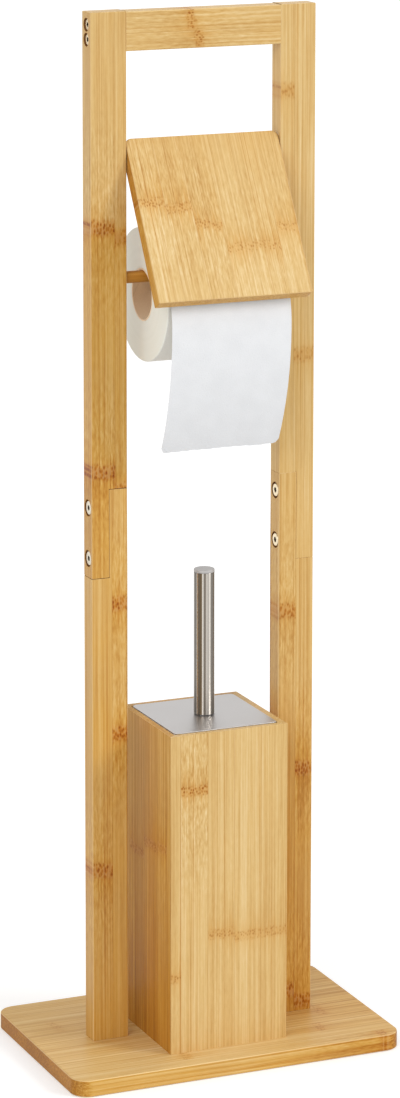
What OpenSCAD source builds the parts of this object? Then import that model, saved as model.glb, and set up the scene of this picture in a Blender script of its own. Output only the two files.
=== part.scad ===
// Toilet roll and brush stand. Two bamboo posts stand on a base plate and carry a top rail,
// a roll on a rod, a hinged lid that rests on the roll, and between their feet a square box
// with a brush in it. Each post is two bars, joined by a bolted half lap.
// Millimetres. The origin is the middle of the underside of the base, +X right, +Y back, +Z up.

/* [Base] */
// Width of the base plate
base_w = 280; // [250:1:340]
// Depth of the base plate
base_d = 179; // [160:1:240]
// Thickness of the base plate
base_t = 13.5; // [11:0.5:20]
// Radius of the base plate's corners
base_corner_r = 14; // [5:1:25]
// Small chamfer on the edges of the boards
edge_ease = 0.8; // [0.3:0.1:1.2]

/* [Frame] */
// Width of the frame over both posts
frame_w = 190; // [180:1:240]
// Height of the posts above the base plate
post_h = 820; // [790:5:900]
// Width of a post, seen from the front
post_w = 30; // [26:1:36]
// Depth of a post, seen from the side
post_d = 16.5; // [15.5:0.5:24]
// How far the middle of the posts is in front of the middle of the base
post_forward = 3.25; // [0:0.25:10]
// Height of the top rail
rail_h = 30.6; // [28:0.2:45]
// How far the rail's top lies below the posts' tops
rail_sink = 0.4; // [0.2:0.1:2]
// Distance from the posts' tops down to the top of the lap
lap_drop = 373; // [350:1:390]
// Length of the lap
lap_len = 70.5; // [64:0.5:90]

/* [Fastenings of the frame] */
// Distance between the two bolts of a lap
bolt_pitch = 40.4; // [34:0.2:46]
// Diameter of the heads of the lap's bolts and sleeve nuts
bolt_head_d = 12; // [10:0.5:13]
// Thickness of those heads
bolt_head_h = 2; // [1.4:0.1:2.6]
// Diameter of the lap bolts' shanks
bolt_d = 6; // [5:0.5:6.5]
// Outer diameter of the sleeve nuts' barrels
sleeve_d = 8.6; // [8:0.2:9.6]
// Distance between the two screws at each end of the rail
rail_screw_pitch = 11.5; // [11:0.5:15]
// Diameter of the rail screws' heads
rail_screw_head_d = 9.4; // [7:0.2:9.6]
// Thickness of the rail screws' heads
rail_screw_head_h = 3; // [2:0.5:5]
// Diameter of the rail screws' shanks
rail_screw_d = 5; // [4:0.5:6]
// How deep the rail screws go into the rail
rail_screw_bite = 28; // [20:1:36]
// Diameter of the bolts that hold the posts on the base
foot_bolt_d = 6; // [5:0.5:7]
// How deep those bolts go into the posts
foot_bolt_bite = 12; // [8:1:14]
// Outer diameter of the threaded inserts in the posts' feet
insert_d = 9; // [8.5:0.5:10.5]
// Length of the threaded inserts
insert_len = 15; // [12:1:20]
// Diameter of the dowels beside those bolts
dowel_d = 8; // [6:0.5:9]
// Length of the dowels
dowel_len = 28; // [22:1:36]

/* [Roll and rod] */
// Diameter of the roll's rod
rod_d = 9.5; // [8:0.5:12]
// Distance from the posts' tops down to the middle of the rod
rod_drop = 208; // [200:1:230]
// Depth of the rod's seat in the left post
rod_seat_left = 8; // [6:0.5:10]
// Depth of the rod's seat in the right post
rod_seat_right = 18; // [17:0.5:22]
// Width of the roll
roll_w = 100; // [90:1:108]
// Outer diameter of the roll
roll_d = 105; // [90:1:120]
// How far right of the frame's middle the roll hangs
roll_aside = 1; // [0:0.5:4]
// Inner diameter of the cardboard core
core_bore_d = 39; // [36:0.5:45]
// Wall of the cardboard core
core_wall = 1.2; // [0.8:0.1:2]
// Thickness of the hanging paper
tail_t = 0.5; // [0.4:0.1:1]
// Height over which the paper curls back below its foremost place
tail_drop = 101; // [70:1:110]
// Radius of that curl
tail_curl_r = 218; // [180:1:300]

/* [Lid] */
// Length of the lid along its slope
lid_len = 136; // [110:1:150]
// Thickness of the lid
lid_t = 11.5; // [9:0.5:14]
// Distance from the posts' tops down to the lid's pins
lid_drop = 108; // [90:1:112]
// Distance from the posts' front faces back to the lid's pins
lid_setback = 6.5; // [6:0.5:8]
// Distance from the lid's top end down to its pins
lid_pin_inset = 7; // [6:0.5:12]
// Gap between the lid and each post
lid_gap = 0.8; // [0.4:0.1:2]
// Radius of the lid's two top corners
lid_corner_r = 5; // [2:0.5:6]
// Diameter of the lid's pins
lid_pin_d = 5; // [4:0.5:6]
// Length of each pin inside the post, and as much inside the lid
lid_pin_reach = 10; // [8:1:14]

/* [Brush box] */
// Width of the box
box_w = 100; // [96:1:120]
// Depth of the box
box_d = 100; // [96:1:120]
// Height of the box
box_h = 258; // [250:1:275]
// Wall of the box
box_wall = 5.5; // [4:0.5:7]
// Thickness of the box's bottom board
box_bottom_t = 10; // [9:1:15]
// How far the middle of the box is in front of the middle of the base
box_forward = 12.5; // [4:0.5:20]
// Diameter of the screws from the base into the box
box_screw_d = 4; // [3:0.5:5]
// How deep those screws go into the bottom board
box_screw_bite = 6; // [4:0.5:8]
// Wall of the plastic liner
liner_wall = 1.6; // [1.2:0.1:2.5]
// Gap between the liner and the box
liner_gap = 0.5; // [0.4:0.1:1.5]
// Radius of the liner's and the cover plate's corners
liner_corner_r = 4; // [3:0.5:8]

/* [Brush] */
// Thickness of the steel cover plate
plate_t = 1.2; // [0.8:0.1:2]
// How far the cover plate's top lies above the rim of the box
plate_rise = 0.6; // [0.2:0.1:0.7]
// Height of the handle above the cover plate
handle_h = 118; // [90:0.5:130]
// Outer diameter of the handle
handle_d = 16.5; // [14:0.5:22]
// Wall of the handle's tube
handle_wall = 1; // [0.8:0.1:1.5]
// Diameter of the stem between the handle and the brush
stem_d = 8; // [6:0.5:8.5]
// Height of the brush's hub
hub_h = 70; // [60:1:80]
// Diameter of the brush's hub
hub_d = 18; // [15:0.5:22]
// Length of the tufts
tuft_len = 27; // [20:1:30]
// Thickness of a tuft at its root
tuft_t = 1.3; // [1:0.1:1.6]
// Number of tufts round the hub
tuft_columns = 24; // [20:1:26]
// Number of rows of tufts
tuft_rows = 13; // [11:1:15]
// Gap under the brush
brush_clear = 9; // [5:1:15]

/* [Hidden] */
$fn = 64;

bamboo = "#dcb576";
steel = "#c9c6c2";
zinc = "#d8d2c4";
brass = "#c8a860";
paper = "#f2f2f3";
card = "#b08a66";
plastic = "#f4f4f2";

// Clearances, and how far a cut runs past the face that it opens
cut_over = 1;
running = 0.08;      // round a rod or pin that moves in its seat
fastener_gap = 0.1;  // round a shank in its hole
head_gap = 0.6;      // round a head in its counterbore
flush_gap = 0.2;     // how far a head lies below the face round it
end_gap = 0.5;       // behind the end of a rod, pin, screw or dowel
paper_gap = 0.35;    // between the roll, the hanging paper and the lid
hang_gap = 0.3;      // between the rod and the core that hangs on it

// Posts and top rail
base_top = base_t;
post_x = (frame_w - post_w) / 2;
post_y = -post_forward;
post_front = post_y - post_d / 2;
post_top = base_top + post_h;
inner_w = frame_w - 2 * post_w;
rail_z = post_top - rail_sink - rail_h / 2;
lap_top = post_top - lap_drop;
lap_bottom = lap_top - lap_len;
lap_z = (lap_top + lap_bottom) / 2;

// Fastenings
bolt_reach = post_w - 2 * (flush_gap + bolt_head_h);
bolt_end_gap = bolt_head_h;
foot_bolt_x = post_x + post_w * 0.22;
dowel_x = post_x - post_w * 0.25;
foot_head_d = 2 * foot_bolt_d;
foot_head_h = foot_bolt_d / 2;
dowel_in_base = base_t * 0.6;
key_share = 0.34;
key_depth_share = 0.8;

// Rod: it slides to the right until its left end is free of the left post
rod_z = post_top - rod_drop;
rod_free = 1;
rod_travel = rod_seat_left - end_gap + rod_free;
rod_left = -inner_w / 2 - rod_seat_left + end_gap;
rod_right = inner_w / 2 + rod_seat_right - end_gap - rod_travel;

// Roll: its core hangs on the rod
core_r = core_bore_d / 2;
core_outer_r = core_r + core_wall;
roll_r = roll_d / 2;
roll_y = post_y;
roll_z = rod_z + rod_d / 2 + hang_gap - core_r;

// Lid: it leans on the roll, with the hanging paper between them
lid_w = inner_w - 2 * lid_gap;
lid_pin_y = post_front + lid_setback;
lid_pin_z = post_top - lid_drop;
lid_over_roll = roll_r + 2 * paper_gap + tail_t + lid_t / 2;
pin_to_roll = norm([roll_y - lid_pin_y, lid_pin_z - roll_z]);
pin_to_roll_lean = atan2(roll_y - lid_pin_y, lid_pin_z - roll_z);
lid_tilt = asin(lid_over_roll / pin_to_roll) - pin_to_roll_lean;

// Hanging paper: round the roll, straight under the lid, forward to its foremost place, then back
tail_r = roll_r + paper_gap + tail_t / 2;
tail_start_turn = lid_tilt + 28;
tail_straight = roll_r * 0.19;
tail_bend_r = roll_r * 1.37;
tail_curl_turn = asin(tail_drop / tail_curl_r);
tail_steps = 12;
tail_roll_c = [roll_y, roll_z];
tail_bend_c = tail_roll_c + (tail_r - tail_bend_r) * out(lid_tilt) + tail_straight * along(lid_tilt);
tail_curl_c = tail_bend_c + (tail_bend_r - tail_curl_r) * out(0);

// Box, liner and cover plate
box_y = -box_forward;
box_inner_w = box_w - 2 * box_wall;
box_inner_d = box_d - 2 * box_wall;
box_top = base_top + box_h;
box_floor = base_top + box_bottom_t;
box_screw_x = box_w * 0.28;
box_screw_y = box_d * 0.28;
box_screw_head_h = box_screw_d / 2;
liner_w = box_inner_w - 2 * liner_gap;
liner_d = box_inner_d - 2 * liner_gap;
liner_floor = box_floor + liner_wall;
plate_top = box_top + plate_rise;
plate_bottom = plate_top - plate_t;
liner_h = plate_bottom - box_floor;

// Handle: its foot plugs the tube's lower end and shows below it as a thin neck
handle_r = handle_d / 2;
handle_bore_r = handle_r - handle_wall;
handle_neck_h = handle_wall * 0.8;
handle_top = plate_top + handle_h;
foot_h = handle_d;
cap_t = handle_wall * 2.5;
cap_ease = handle_wall * 0.8;
plug_h = handle_d * 0.4;
stem_r = stem_d / 2;
stem_top = plate_top + foot_h * 0.7;
nut_across = stem_d * 1.625;
nut_h = stem_d * 0.8;

// Brush: the lowest tufts point steeply down, the highest a little up
hub_r = hub_d / 2;
sleeve_t = hub_r * 0.16;
sleeve_in_r = (hub_r + hang_gap) / cos(180 / tuft_columns);
sleeve_out_r = sleeve_in_r + sleeve_t;
sleeve_h = hub_h * 0.8;
row_h = sleeve_h / tuft_rows;
tuft_down = 76;
tuft_up = 18;
tip_share = 0.5;
sleeve_bottom = liner_floor + brush_clear + tuft_len * sin(tuft_down) - row_h / 2 + tuft_t / 2;
hub_bottom = sleeve_bottom - hub_r;
hub_top = hub_bottom + hub_h;
stem_bottom = hub_top - hub_h * 0.3;

// Across the hanging paper, away from the roll, where it heads h degrees forward of straight down
function out(h) = [-cos(h), sin(h)];

// Along the hanging paper at that place
function along(h) = [-sin(h), -cos(h)];

// Points of an arc of the hanging paper from heading h0 to heading h1
function bend(c, r, h0, h1) = [
  for (i = [0 : tail_steps]) c + r * out(h0 + (h1 - h0) * i / tail_steps)
];

// One side of the hanging paper, a distance off its middle
function tail_side(off) = concat(
  bend(tail_roll_c, tail_r + off, tail_start_turn, lid_tilt),
  bend(tail_bend_c, tail_bend_r + off, lid_tilt, 0),
  [for (i = [1 : tail_steps])
    tail_curl_c + (tail_curl_r + off) * out(-tail_curl_turn * i / tail_steps)]
);

function backwards(list) = [for (i = [len(list) - 1 : -1 : 0]) list[i]];

// A rectangle with its corners cut off
function eased(w, d, e = edge_ease) = [
  [-w / 2 + e, -d / 2], [w / 2 - e, -d / 2], [w / 2, -d / 2 + e], [w / 2, d / 2 - e],
  [w / 2 - e, d / 2], [-w / 2 + e, d / 2], [-w / 2, d / 2 - e], [-w / 2, -d / 2 + e]
];

// Half of a disc's section from its axis, eased at both rims
function disc_section(r, h, e = edge_ease) = [
  [0, -h / 2], [r - e, -h / 2], [r, -h / 2 + e], [r, h / 2 - e], [r - e, h / 2], [0, h / 2]
];

// Extrudes a section in Y and Z along X, about the origin
module beam_x(len) {
  rotate([90, 0, 90]) linear_extrude(len, center = true) children();
}

// Extrudes a section in X and Z along Y, about the origin
module beam_y(len) {
  rotate([90, 0, 0]) linear_extrude(len, center = true) children();
}

// An upright bar with eased long edges between two heights
module bar(w, d, bottom, top) {
  translate([0, 0, bottom]) linear_extrude(top - bottom) polygon(eased(w, d));
}

// A plate about the origin with round corners and eased rims
module eased_plate(w, d, h, r) {
  beam_x(w - 2 * r) polygon(eased(d, h));
  beam_y(d - 2 * r) polygon(eased(w, h));
  for (x = [-1, 1], y = [-1, 1])
    translate([x * (w / 2 - r), y * (d / 2 - r), 0]) rotate_extrude() polygon(disc_section(r, h));
}

// A rectangle with round corners
module round_rect(w, d, r) {
  square([w - 2 * r, d], center = true);
  square([w, d - 2 * r], center = true);
  for (x = [-1, 1], y = [-1, 1])
    translate([x * (w / 2 - r), y * (d / 2 - r)]) circle(r);
}

// A hexagonal prism of a given width across its flats
module hexagon(across, h) {
  cylinder(d = across / cos(30), h = h, $fn = 6);
}

// A fastener along +Z: its head starts at the origin and has a hexagonal socket
module socket_screw(head_d, head_h, shank_d, reach) {
  difference() {
    union() {
      cylinder(d = head_d, h = head_h);
      cylinder(d = shank_d, h = head_h + reach);
    }
    translate([0, 0, -cut_over])
      hexagon(head_d * key_share, cut_over + head_h * key_depth_share);
  }
}

// The hole for a fastener along +Z whose head lies just below the face at the origin
module screw_hole(head_d, head_h, bore_d, depth) {
  translate([0, 0, -cut_over])
    cylinder(d = head_d + 2 * head_gap, h = cut_over + flush_gap + head_h);
  cylinder(d = bore_d, h = depth);
}

// A child on the left, and its mirror image on the right
module both_sides() {
  children();
  mirror([1, 0, 0]) children();
}

// Places of the fastenings on the left side
module at_foot_bolt() {
  translate([-foot_bolt_x, post_y, 0]) children();
}

module at_dowel() {
  translate([-dowel_x, post_y, base_top - dowel_in_base]) children();
}

module at_rail_screws() {
  for (side = [-1, 1])
    translate([-frame_w / 2, post_y, rail_z + side * rail_screw_pitch / 2])
      rotate([0, 90, 0]) children();
}

module at_lap_outside() {
  for (side = [-1, 1])
    translate([-frame_w / 2, post_y, lap_z + side * bolt_pitch / 2])
      rotate([0, 90, 0]) children();
}

module at_lap_inside() {
  for (side = [-1, 1])
    translate([-inner_w / 2, post_y, lap_z + side * bolt_pitch / 2])
      rotate([0, -90, 0]) children();
}

module at_box_screws() {
  for (x = [-1, 1], y = [-1, 1])
    translate([x * box_screw_x, box_y + y * box_screw_y, 0]) children();
}

// Holes that several pieces share
module lap_hole() {
  screw_hole(bolt_head_d, bolt_head_h, sleeve_d + 2 * fastener_gap, post_w + cut_over);
}

module rail_screw_hole() {
  screw_hole(rail_screw_head_d, rail_screw_head_h, rail_screw_d + 2 * fastener_gap,
             post_w + rail_screw_bite + end_gap);
}

module foot_bolt_hole() {
  screw_hole(foot_head_d, foot_head_h, foot_bolt_d + 2 * fastener_gap,
             base_top + foot_bolt_bite + end_gap);
}

module dowel_hole() {
  translate([0, 0, -end_gap]) cylinder(d = dowel_d, h = dowel_len + 2 * end_gap);
}

module box_screw_hole() {
  translate([0, 0, -cut_over])
    cylinder(r = box_screw_d + fastener_gap, h = cut_over + flush_gap);
  translate([0, 0, flush_gap])
    cylinder(r1 = box_screw_d + fastener_gap, r2 = box_screw_d / 2 + fastener_gap,
             h = box_screw_head_h);
  cylinder(d = box_screw_d + 2 * fastener_gap, h = base_top + box_screw_bite + end_gap);
}

module base_plate() color(bamboo) {
  difference() {
    translate([0, 0, base_t / 2]) eased_plate(base_w, base_d, base_t, base_corner_r);
    both_sides() at_foot_bolt() foot_bolt_hole();
    both_sides() at_dowel() dowel_hole();
    at_box_screws() box_screw_hole();
  }
}

// The lower bar of the left post: its tongue is the inner half
module post_lower() color(bamboo) {
  difference() {
    translate([-post_x, post_y, 0]) bar(post_w, post_d, base_top, lap_top);
    translate([-frame_w / 2 - cut_over, post_front - cut_over, lap_bottom])
      cube([post_w / 2 + cut_over, post_d + 2 * cut_over, lap_len + cut_over]);
    at_lap_inside() lap_hole();
    at_foot_bolt() foot_bolt_hole();
    at_foot_bolt() translate([0, 0, base_top - cut_over])
      cylinder(d = insert_d, h = cut_over + insert_len);
    at_dowel() dowel_hole();
  }
}

// The upper bar of the left post: its tongue is the outer half
module post_upper(rod_seat) color(bamboo) {
  difference() {
    translate([-post_x, post_y, 0]) bar(post_w, post_d, lap_bottom, post_top);
    translate([-post_x, post_front - cut_over, lap_bottom - cut_over])
      cube([post_w / 2 + cut_over, post_d + 2 * cut_over, cut_over + lap_len]);
    at_lap_outside() lap_hole();
    at_rail_screws() rail_screw_hole();
    translate([-inner_w / 2 - rod_seat, post_y, rod_z])
      rotate([0, 90, 0]) cylinder(d = rod_d + 2 * running, h = rod_seat + cut_over);
    translate([-inner_w / 2 - lid_pin_reach - end_gap, lid_pin_y, lid_pin_z])
      rotate([0, 90, 0])
        cylinder(d = lid_pin_d + 2 * running, h = lid_pin_reach + end_gap + cut_over);
  }
}

module left_post_lower() post_lower();
module right_post_lower() mirror([1, 0, 0]) post_lower();
module left_post_upper() post_upper(rod_seat_left);
module right_post_upper() mirror([1, 0, 0]) post_upper(rod_seat_right);

module top_rail() color(bamboo) {
  difference() {
    translate([0, post_y, rail_z]) beam_x(inner_w) polygon(eased(post_d, rail_h));
    both_sides() at_rail_screws() rail_screw_hole();
  }
}

module lap_bolts() color(zinc) {
  both_sides() at_lap_outside() translate([0, 0, flush_gap])
    socket_screw(bolt_head_d, bolt_head_h, bolt_d, bolt_reach - 2 * bolt_end_gap);
}

module lap_sleeve_nuts() color(zinc) {
  both_sides() at_lap_inside() translate([0, 0, flush_gap])
    difference() {
      socket_screw(bolt_head_d, bolt_head_h, sleeve_d, bolt_reach - bolt_end_gap);
      translate([0, 0, 2 * bolt_head_h])
        cylinder(d = bolt_d + fastener_gap, h = bolt_reach);
    }
}

module rail_screws() color(zinc) {
  both_sides() at_rail_screws() translate([0, 0, flush_gap])
    socket_screw(rail_screw_head_d, rail_screw_head_h, rail_screw_d,
                 post_w - flush_gap - rail_screw_head_h + rail_screw_bite);
}

module foot_bolts() color(zinc) {
  both_sides() at_foot_bolt() translate([0, 0, flush_gap])
    socket_screw(foot_head_d, foot_head_h, foot_bolt_d,
                 base_top - flush_gap - foot_head_h + foot_bolt_bite);
}

module foot_inserts() color(brass) {
  both_sides() at_foot_bolt() translate([0, 0, base_top])
    difference() {
      cylinder(d = insert_d, h = insert_len);
      translate([0, 0, -cut_over])
        cylinder(d = foot_bolt_d + fastener_gap, h = insert_len + 2 * cut_over);
    }
}

module foot_dowels() color(bamboo) {
  both_sides() at_dowel() cylinder(d = dowel_d, h = dowel_len);
}

module roll_rod() color(bamboo) {
  translate([rod_left, post_y, rod_z])
    rotate([0, 90, 0]) cylinder(d = rod_d, h = rod_right - rod_left);
}

// A ring about the roll's axis
module roll_ring(inner_r, outer_r) {
  translate([roll_aside, roll_y, roll_z]) rotate([0, 90, 0])
    difference() {
      cylinder(r = outer_r, h = roll_w, center = true);
      cylinder(r = inner_r, h = roll_w + 2 * cut_over, center = true);
    }
}

module roll_core() color(card) roll_ring(core_r, core_outer_r);
module paper_winding() color(paper) roll_ring(core_outer_r, roll_r);

module paper_tail() color(paper) {
  translate([roll_aside, 0, 0]) beam_x(roll_w)
    polygon(concat(tail_side(tail_t / 2), backwards(tail_side(-tail_t / 2))));
}

// A child in the lid's own frame: its pins on the origin, the lid hanging straight down
module at_lid() {
  translate([0, lid_pin_y, lid_pin_z]) rotate([-lid_tilt, 0, 0]) children();
}

module at_lid_pin() {
  at_lid() both_sides()
    translate([-inner_w / 2 - lid_pin_reach, 0, 0]) rotate([0, 90, 0]) children();
}

module lid_panel() color(bamboo) {
  difference() {
    at_lid() translate([0, 0, lid_pin_inset - lid_len / 2])
      intersection() {
        linear_extrude(lid_len, center = true) polygon(eased(lid_w, lid_t));
        beam_x(lid_w) polygon(eased(lid_t, lid_len));
        beam_y(lid_t) {
          translate([-lid_w / 2, -lid_len / 2]) square([lid_w, lid_len - lid_corner_r]);
          translate([lid_corner_r - lid_w / 2, 0])
            square([lid_w - 2 * lid_corner_r, lid_len / 2]);
          for (x = [-1, 1])
            translate([x * (lid_w / 2 - lid_corner_r), lid_len / 2 - lid_corner_r])
              circle(lid_corner_r);
        }
      }
    at_lid_pin() cylinder(d = lid_pin_d, h = 2 * lid_pin_reach + lid_gap);
  }
}

module lid_pins() color(zinc) {
  at_lid_pin() cylinder(d = lid_pin_d, h = 2 * lid_pin_reach + lid_gap);
}

// A wall of the box with mitred ends, its outer face half the given depth before the origin
module box_side(w, d) color(bamboo) {
  e = edge_ease;
  t = box_wall;
  translate([0, 0, base_top]) linear_extrude(box_h)
    polygon([
      [-w / 2 + e, -d / 2], [w / 2 - e, -d / 2],
      [w / 2 - e / 2, -d / 2 + e / 2], [w / 2 - t, -d / 2 + t],
      [-w / 2 + t, -d / 2 + t], [-w / 2 + e / 2, -d / 2 + e / 2]
    ]);
}

module box_front() translate([0, box_y, 0]) box_side(box_w, box_d);
module box_back() translate([0, box_y, 0]) rotate([0, 0, 180]) box_side(box_w, box_d);
module box_left() translate([0, box_y, 0]) rotate([0, 0, -90]) box_side(box_d, box_w);
module box_right() translate([0, box_y, 0]) rotate([0, 0, 90]) box_side(box_d, box_w);

module box_bottom() color(bamboo) {
  difference() {
    translate([-box_inner_w / 2, box_y - box_inner_d / 2, base_top])
      cube([box_inner_w, box_inner_d, box_bottom_t]);
    at_box_screws() box_screw_hole();
  }
}

module box_screws() color(zinc) {
  at_box_screws() translate([0, 0, flush_gap])
    difference() {
      union() {
        cylinder(r1 = box_screw_d, r2 = box_screw_d / 2, h = box_screw_head_h);
        cylinder(d = box_screw_d, h = base_top - flush_gap + box_screw_bite);
      }
      translate([0, 0, -cut_over])
        hexagon(box_screw_d * key_share * 2, cut_over + box_screw_head_h * key_depth_share);
    }
}

module box_liner() color(plastic) {
  translate([0, box_y, box_floor])
    difference() {
      linear_extrude(liner_h) round_rect(liner_w, liner_d, liner_corner_r);
      translate([0, 0, liner_wall]) linear_extrude(liner_h)
        round_rect(liner_w - 2 * liner_wall, liner_d - 2 * liner_wall,
                   liner_corner_r - liner_wall);
    }
}

// A child on the brush's own axis
module on_brush() {
  translate([0, box_y, 0]) children();
}

module cover_plate() color(steel) {
  on_brush() translate([0, 0, plate_bottom])
    difference() {
      linear_extrude(plate_t) round_rect(liner_w, liner_d, liner_corner_r);
      translate([0, 0, -cut_over]) cylinder(r = stem_r + fastener_gap, h = plate_t + 2 * cut_over);
    }
}

module handle_tube() color(steel) {
  on_brush() translate([0, 0, plate_top + handle_neck_h])
    difference() {
      cylinder(r = handle_r, h = handle_h - handle_neck_h - cap_t);
      translate([0, 0, -cut_over]) cylinder(r = handle_bore_r, h = handle_h + cut_over);
    }
}

module handle_cap() color(steel) {
  on_brush() translate([0, 0, handle_top - cap_t]) {
    rotate_extrude() polygon([
      [0, 0], [handle_r, 0], [handle_r, cap_t - cap_ease], [handle_r - cap_ease, cap_t], [0, cap_t]
    ]);
    translate([0, 0, -plug_h]) cylinder(r = handle_bore_r - fastener_gap / 2, h = plug_h);
  }
}

module handle_foot() color(steel) {
  on_brush() translate([0, 0, plate_top])
    difference() {
      cylinder(r = handle_bore_r - fastener_gap / 2, h = handle_neck_h + foot_h);
      translate([0, 0, -cut_over])
        cylinder(r = stem_r + fastener_gap / 2, h = cut_over + stem_top - plate_top + end_gap);
    }
}

module brush_stem() color(steel) {
  on_brush() translate([0, 0, stem_bottom]) cylinder(r = stem_r, h = stem_top - stem_bottom);
}

module stem_nut() color(steel) {
  on_brush() translate([0, 0, plate_bottom - nut_h])
    difference() {
      hexagon(nut_across, nut_h);
      translate([0, 0, -cut_over])
        cylinder(r = stem_r + fastener_gap / 2, h = nut_h + 2 * cut_over);
    }
}

module brush_hub() color(plastic) {
  on_brush() difference() {
    union() {
      translate([0, 0, sleeve_bottom]) sphere(r = hub_r);
      translate([0, 0, sleeve_bottom]) cylinder(r = hub_r, h = hub_top - sleeve_bottom);
    }
    translate([0, 0, stem_bottom - end_gap])
      cylinder(r = stem_r + fastener_gap / 2, h = hub_top - stem_bottom + end_gap + cut_over);
  }
}

// The tufts grow out of a thin sleeve, one from each cell of its outer wall, so that sleeve and
// tufts are one closed solid. A cell is split into a frame round the tuft's root.
function turn_to(angle, r, z) = [r * cos(angle), r * sin(angle), z];

// The four corners of a square across a tuft, counted as the cell's corners are
function tuft_square(row, column, along_tuft, half) =
  let (
    angle = (column + 0.5) * 360 / tuft_columns,
    rise = tuft_up * row / (tuft_rows - 1) - tuft_down * (1 - row / (tuft_rows - 1)),
    r = sleeve_out_r * cos(180 / tuft_columns) + along_tuft * cos(rise),
    z = sleeve_bottom + (row + 0.5) * row_h + along_tuft * sin(rise),
    side = [-sin(angle), cos(angle), 0]
  )
  [for (c = [[-1, -1], [1, -1], [1, 1], [-1, 1]])
    turn_to(angle, r, z + c[1] * half) + c[0] * half * side];

module brush_tufts() color(plastic) {
  n = tuft_columns;
  m = tuft_rows;
  ring = [for (i = [0 : m], k = [0 : n - 1])
    turn_to(k * 360 / n, sleeve_out_r, sleeve_bottom + i * row_h)];
  bore = [for (i = [0, m], k = [0 : n - 1])
    turn_to(k * 360 / n, sleeve_in_r, sleeve_bottom + i * row_h)];
  roots = [for (i = [0 : m - 1], k = [0 : n - 1]) each tuft_square(i, k, 0, tuft_t / 2)];
  tips = [for (i = [0 : m - 1], k = [0 : n - 1])
    each tuft_square(i, k, tuft_len, tuft_t / 2 * tip_share)];
  low = len(ring);
  high = low + n;
  root = high + n;
  tip = root + len(roots);
  // two triangles of a four-cornered face, seen clockwise from outside
  quads = concat(
    [for (k = [0 : n - 1]) let (j = (k + 1) % n) [low + k, low + j, high + j, high + k]],
    [for (k = [0 : n - 1]) let (j = (k + 1) % n) [k, j, low + j, low + k]],
    [for (k = [0 : n - 1]) let (j = (k + 1) % n) [high + k, high + j, m * n + j, m * n + k]],
    [for (i = [0 : m - 1], k = [0 : n - 1])
      let (
        j = (k + 1) % n,
        cell = [i * n + k, i * n + j, (i + 1) * n + j, (i + 1) * n + k],
        a = root + 4 * (i * n + k),
        b = tip + 4 * (i * n + k)
      )
      each concat(
        [for (c = [0 : 3]) let (d = (c + 1) % 4) [cell[d], cell[c], a + c, a + d]],
        [for (c = [0 : 3]) let (d = (c + 1) % 4) [a + d, a + c, b + c, b + d]],
        [[b + 3, b + 2, b + 1, b]]
      )]
  );
  on_brush() polyhedron(
    points = concat(ring, bore, roots, tips),
    faces = [for (q = quads) each [[q[0], q[1], q[2]], [q[0], q[2], q[3]]]]
  );
}

base_plate();
left_post_lower();
right_post_lower();
left_post_upper();
right_post_upper();
top_rail();
lap_bolts();
lap_sleeve_nuts();
rail_screws();
foot_bolts();
foot_inserts();
foot_dowels();
roll_rod();
roll_core();
paper_winding();
paper_tail();
lid_panel();
lid_pins();
box_front();
box_back();
box_left();
box_right();
box_bottom();
box_screws();
box_liner();
cover_plate();
handle_tube();
handle_cap();
handle_foot();
brush_stem();
stem_nut();
brush_hub();
brush_tufts();
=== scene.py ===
import math
import random

import bmesh
import bpy
from mathutils import Matrix, Vector


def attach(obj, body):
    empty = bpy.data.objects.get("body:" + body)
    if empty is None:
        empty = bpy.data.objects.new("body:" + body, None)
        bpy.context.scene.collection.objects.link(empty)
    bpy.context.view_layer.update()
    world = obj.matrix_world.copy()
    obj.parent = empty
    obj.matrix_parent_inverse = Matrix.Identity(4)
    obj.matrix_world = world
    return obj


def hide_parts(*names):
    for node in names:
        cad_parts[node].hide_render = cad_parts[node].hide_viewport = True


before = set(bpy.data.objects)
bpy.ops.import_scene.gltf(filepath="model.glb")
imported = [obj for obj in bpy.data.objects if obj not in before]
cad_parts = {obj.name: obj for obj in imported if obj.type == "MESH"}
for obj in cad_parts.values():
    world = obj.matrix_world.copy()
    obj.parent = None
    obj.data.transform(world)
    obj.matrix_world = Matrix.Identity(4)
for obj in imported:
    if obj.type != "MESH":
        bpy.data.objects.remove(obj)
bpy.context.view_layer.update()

random.seed(7)


# Camera, light and floor

shot = {
    "place": (-1.21990, -2.83330, 1.15731),
    "yaw": 0.40162054,  # radians from straight back, to the right
    "pitch": 0.15792051,  # radians downwards
    "focal": 4005.153,  # in pixels of a frame of 400 by 1098
    "middle": (178.634, 220.0),
    "frame": (400, 1098),
}

studio = {
    "ambient": 0.71,
    # direction, strength and width in degrees of the two soft lamps
    "lamps": {
        "rightLamp": ((0.643, -0.566, 0.515), 1.02, 18),
        "leftLamp": ((-0.643, -0.566, 0.515), 0.76, 40),
    },
    "floorColour": (0.84, 0.84, 0.84, 1),
    "floorGlow": 0.30,
}


def setCamera():
    wide, high = shot["frame"]
    turn = (math.pi / 2 - shot["pitch"], 0, -shot["yaw"])
    bpy.ops.object.camera_add(location=shot["place"], rotation=turn)
    camera = bpy.context.active_object
    camera.name = "camera"
    camera.data.sensor_width = 36
    camera.data.lens = shot["focal"] / high * 36
    camera.data.shift_x = (wide / 2 - shot["middle"][0]) / high
    camera.data.shift_y = (shot["middle"][1] - high / 2) / high
    camera.data.clip_end = 200
    bpy.context.scene.camera = camera


work = {}  # holds the node tree that the helpers below fill


def useTree(tree):
    work["tree"] = tree
    tree.nodes.clear()


def addNode(kind, inputs=None, **settings):
    # an input takes another node's output or a value of its own
    node = work["tree"].nodes.new(kind)
    for key, value in settings.items():
        setattr(node, key, value)
    for key, value in (inputs or {}).items():
        if isinstance(value, bpy.types.NodeSocket):
            work["tree"].links.new(value, node.inputs[key])
        else:
            node.inputs[key].default_value = value
    return node


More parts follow.
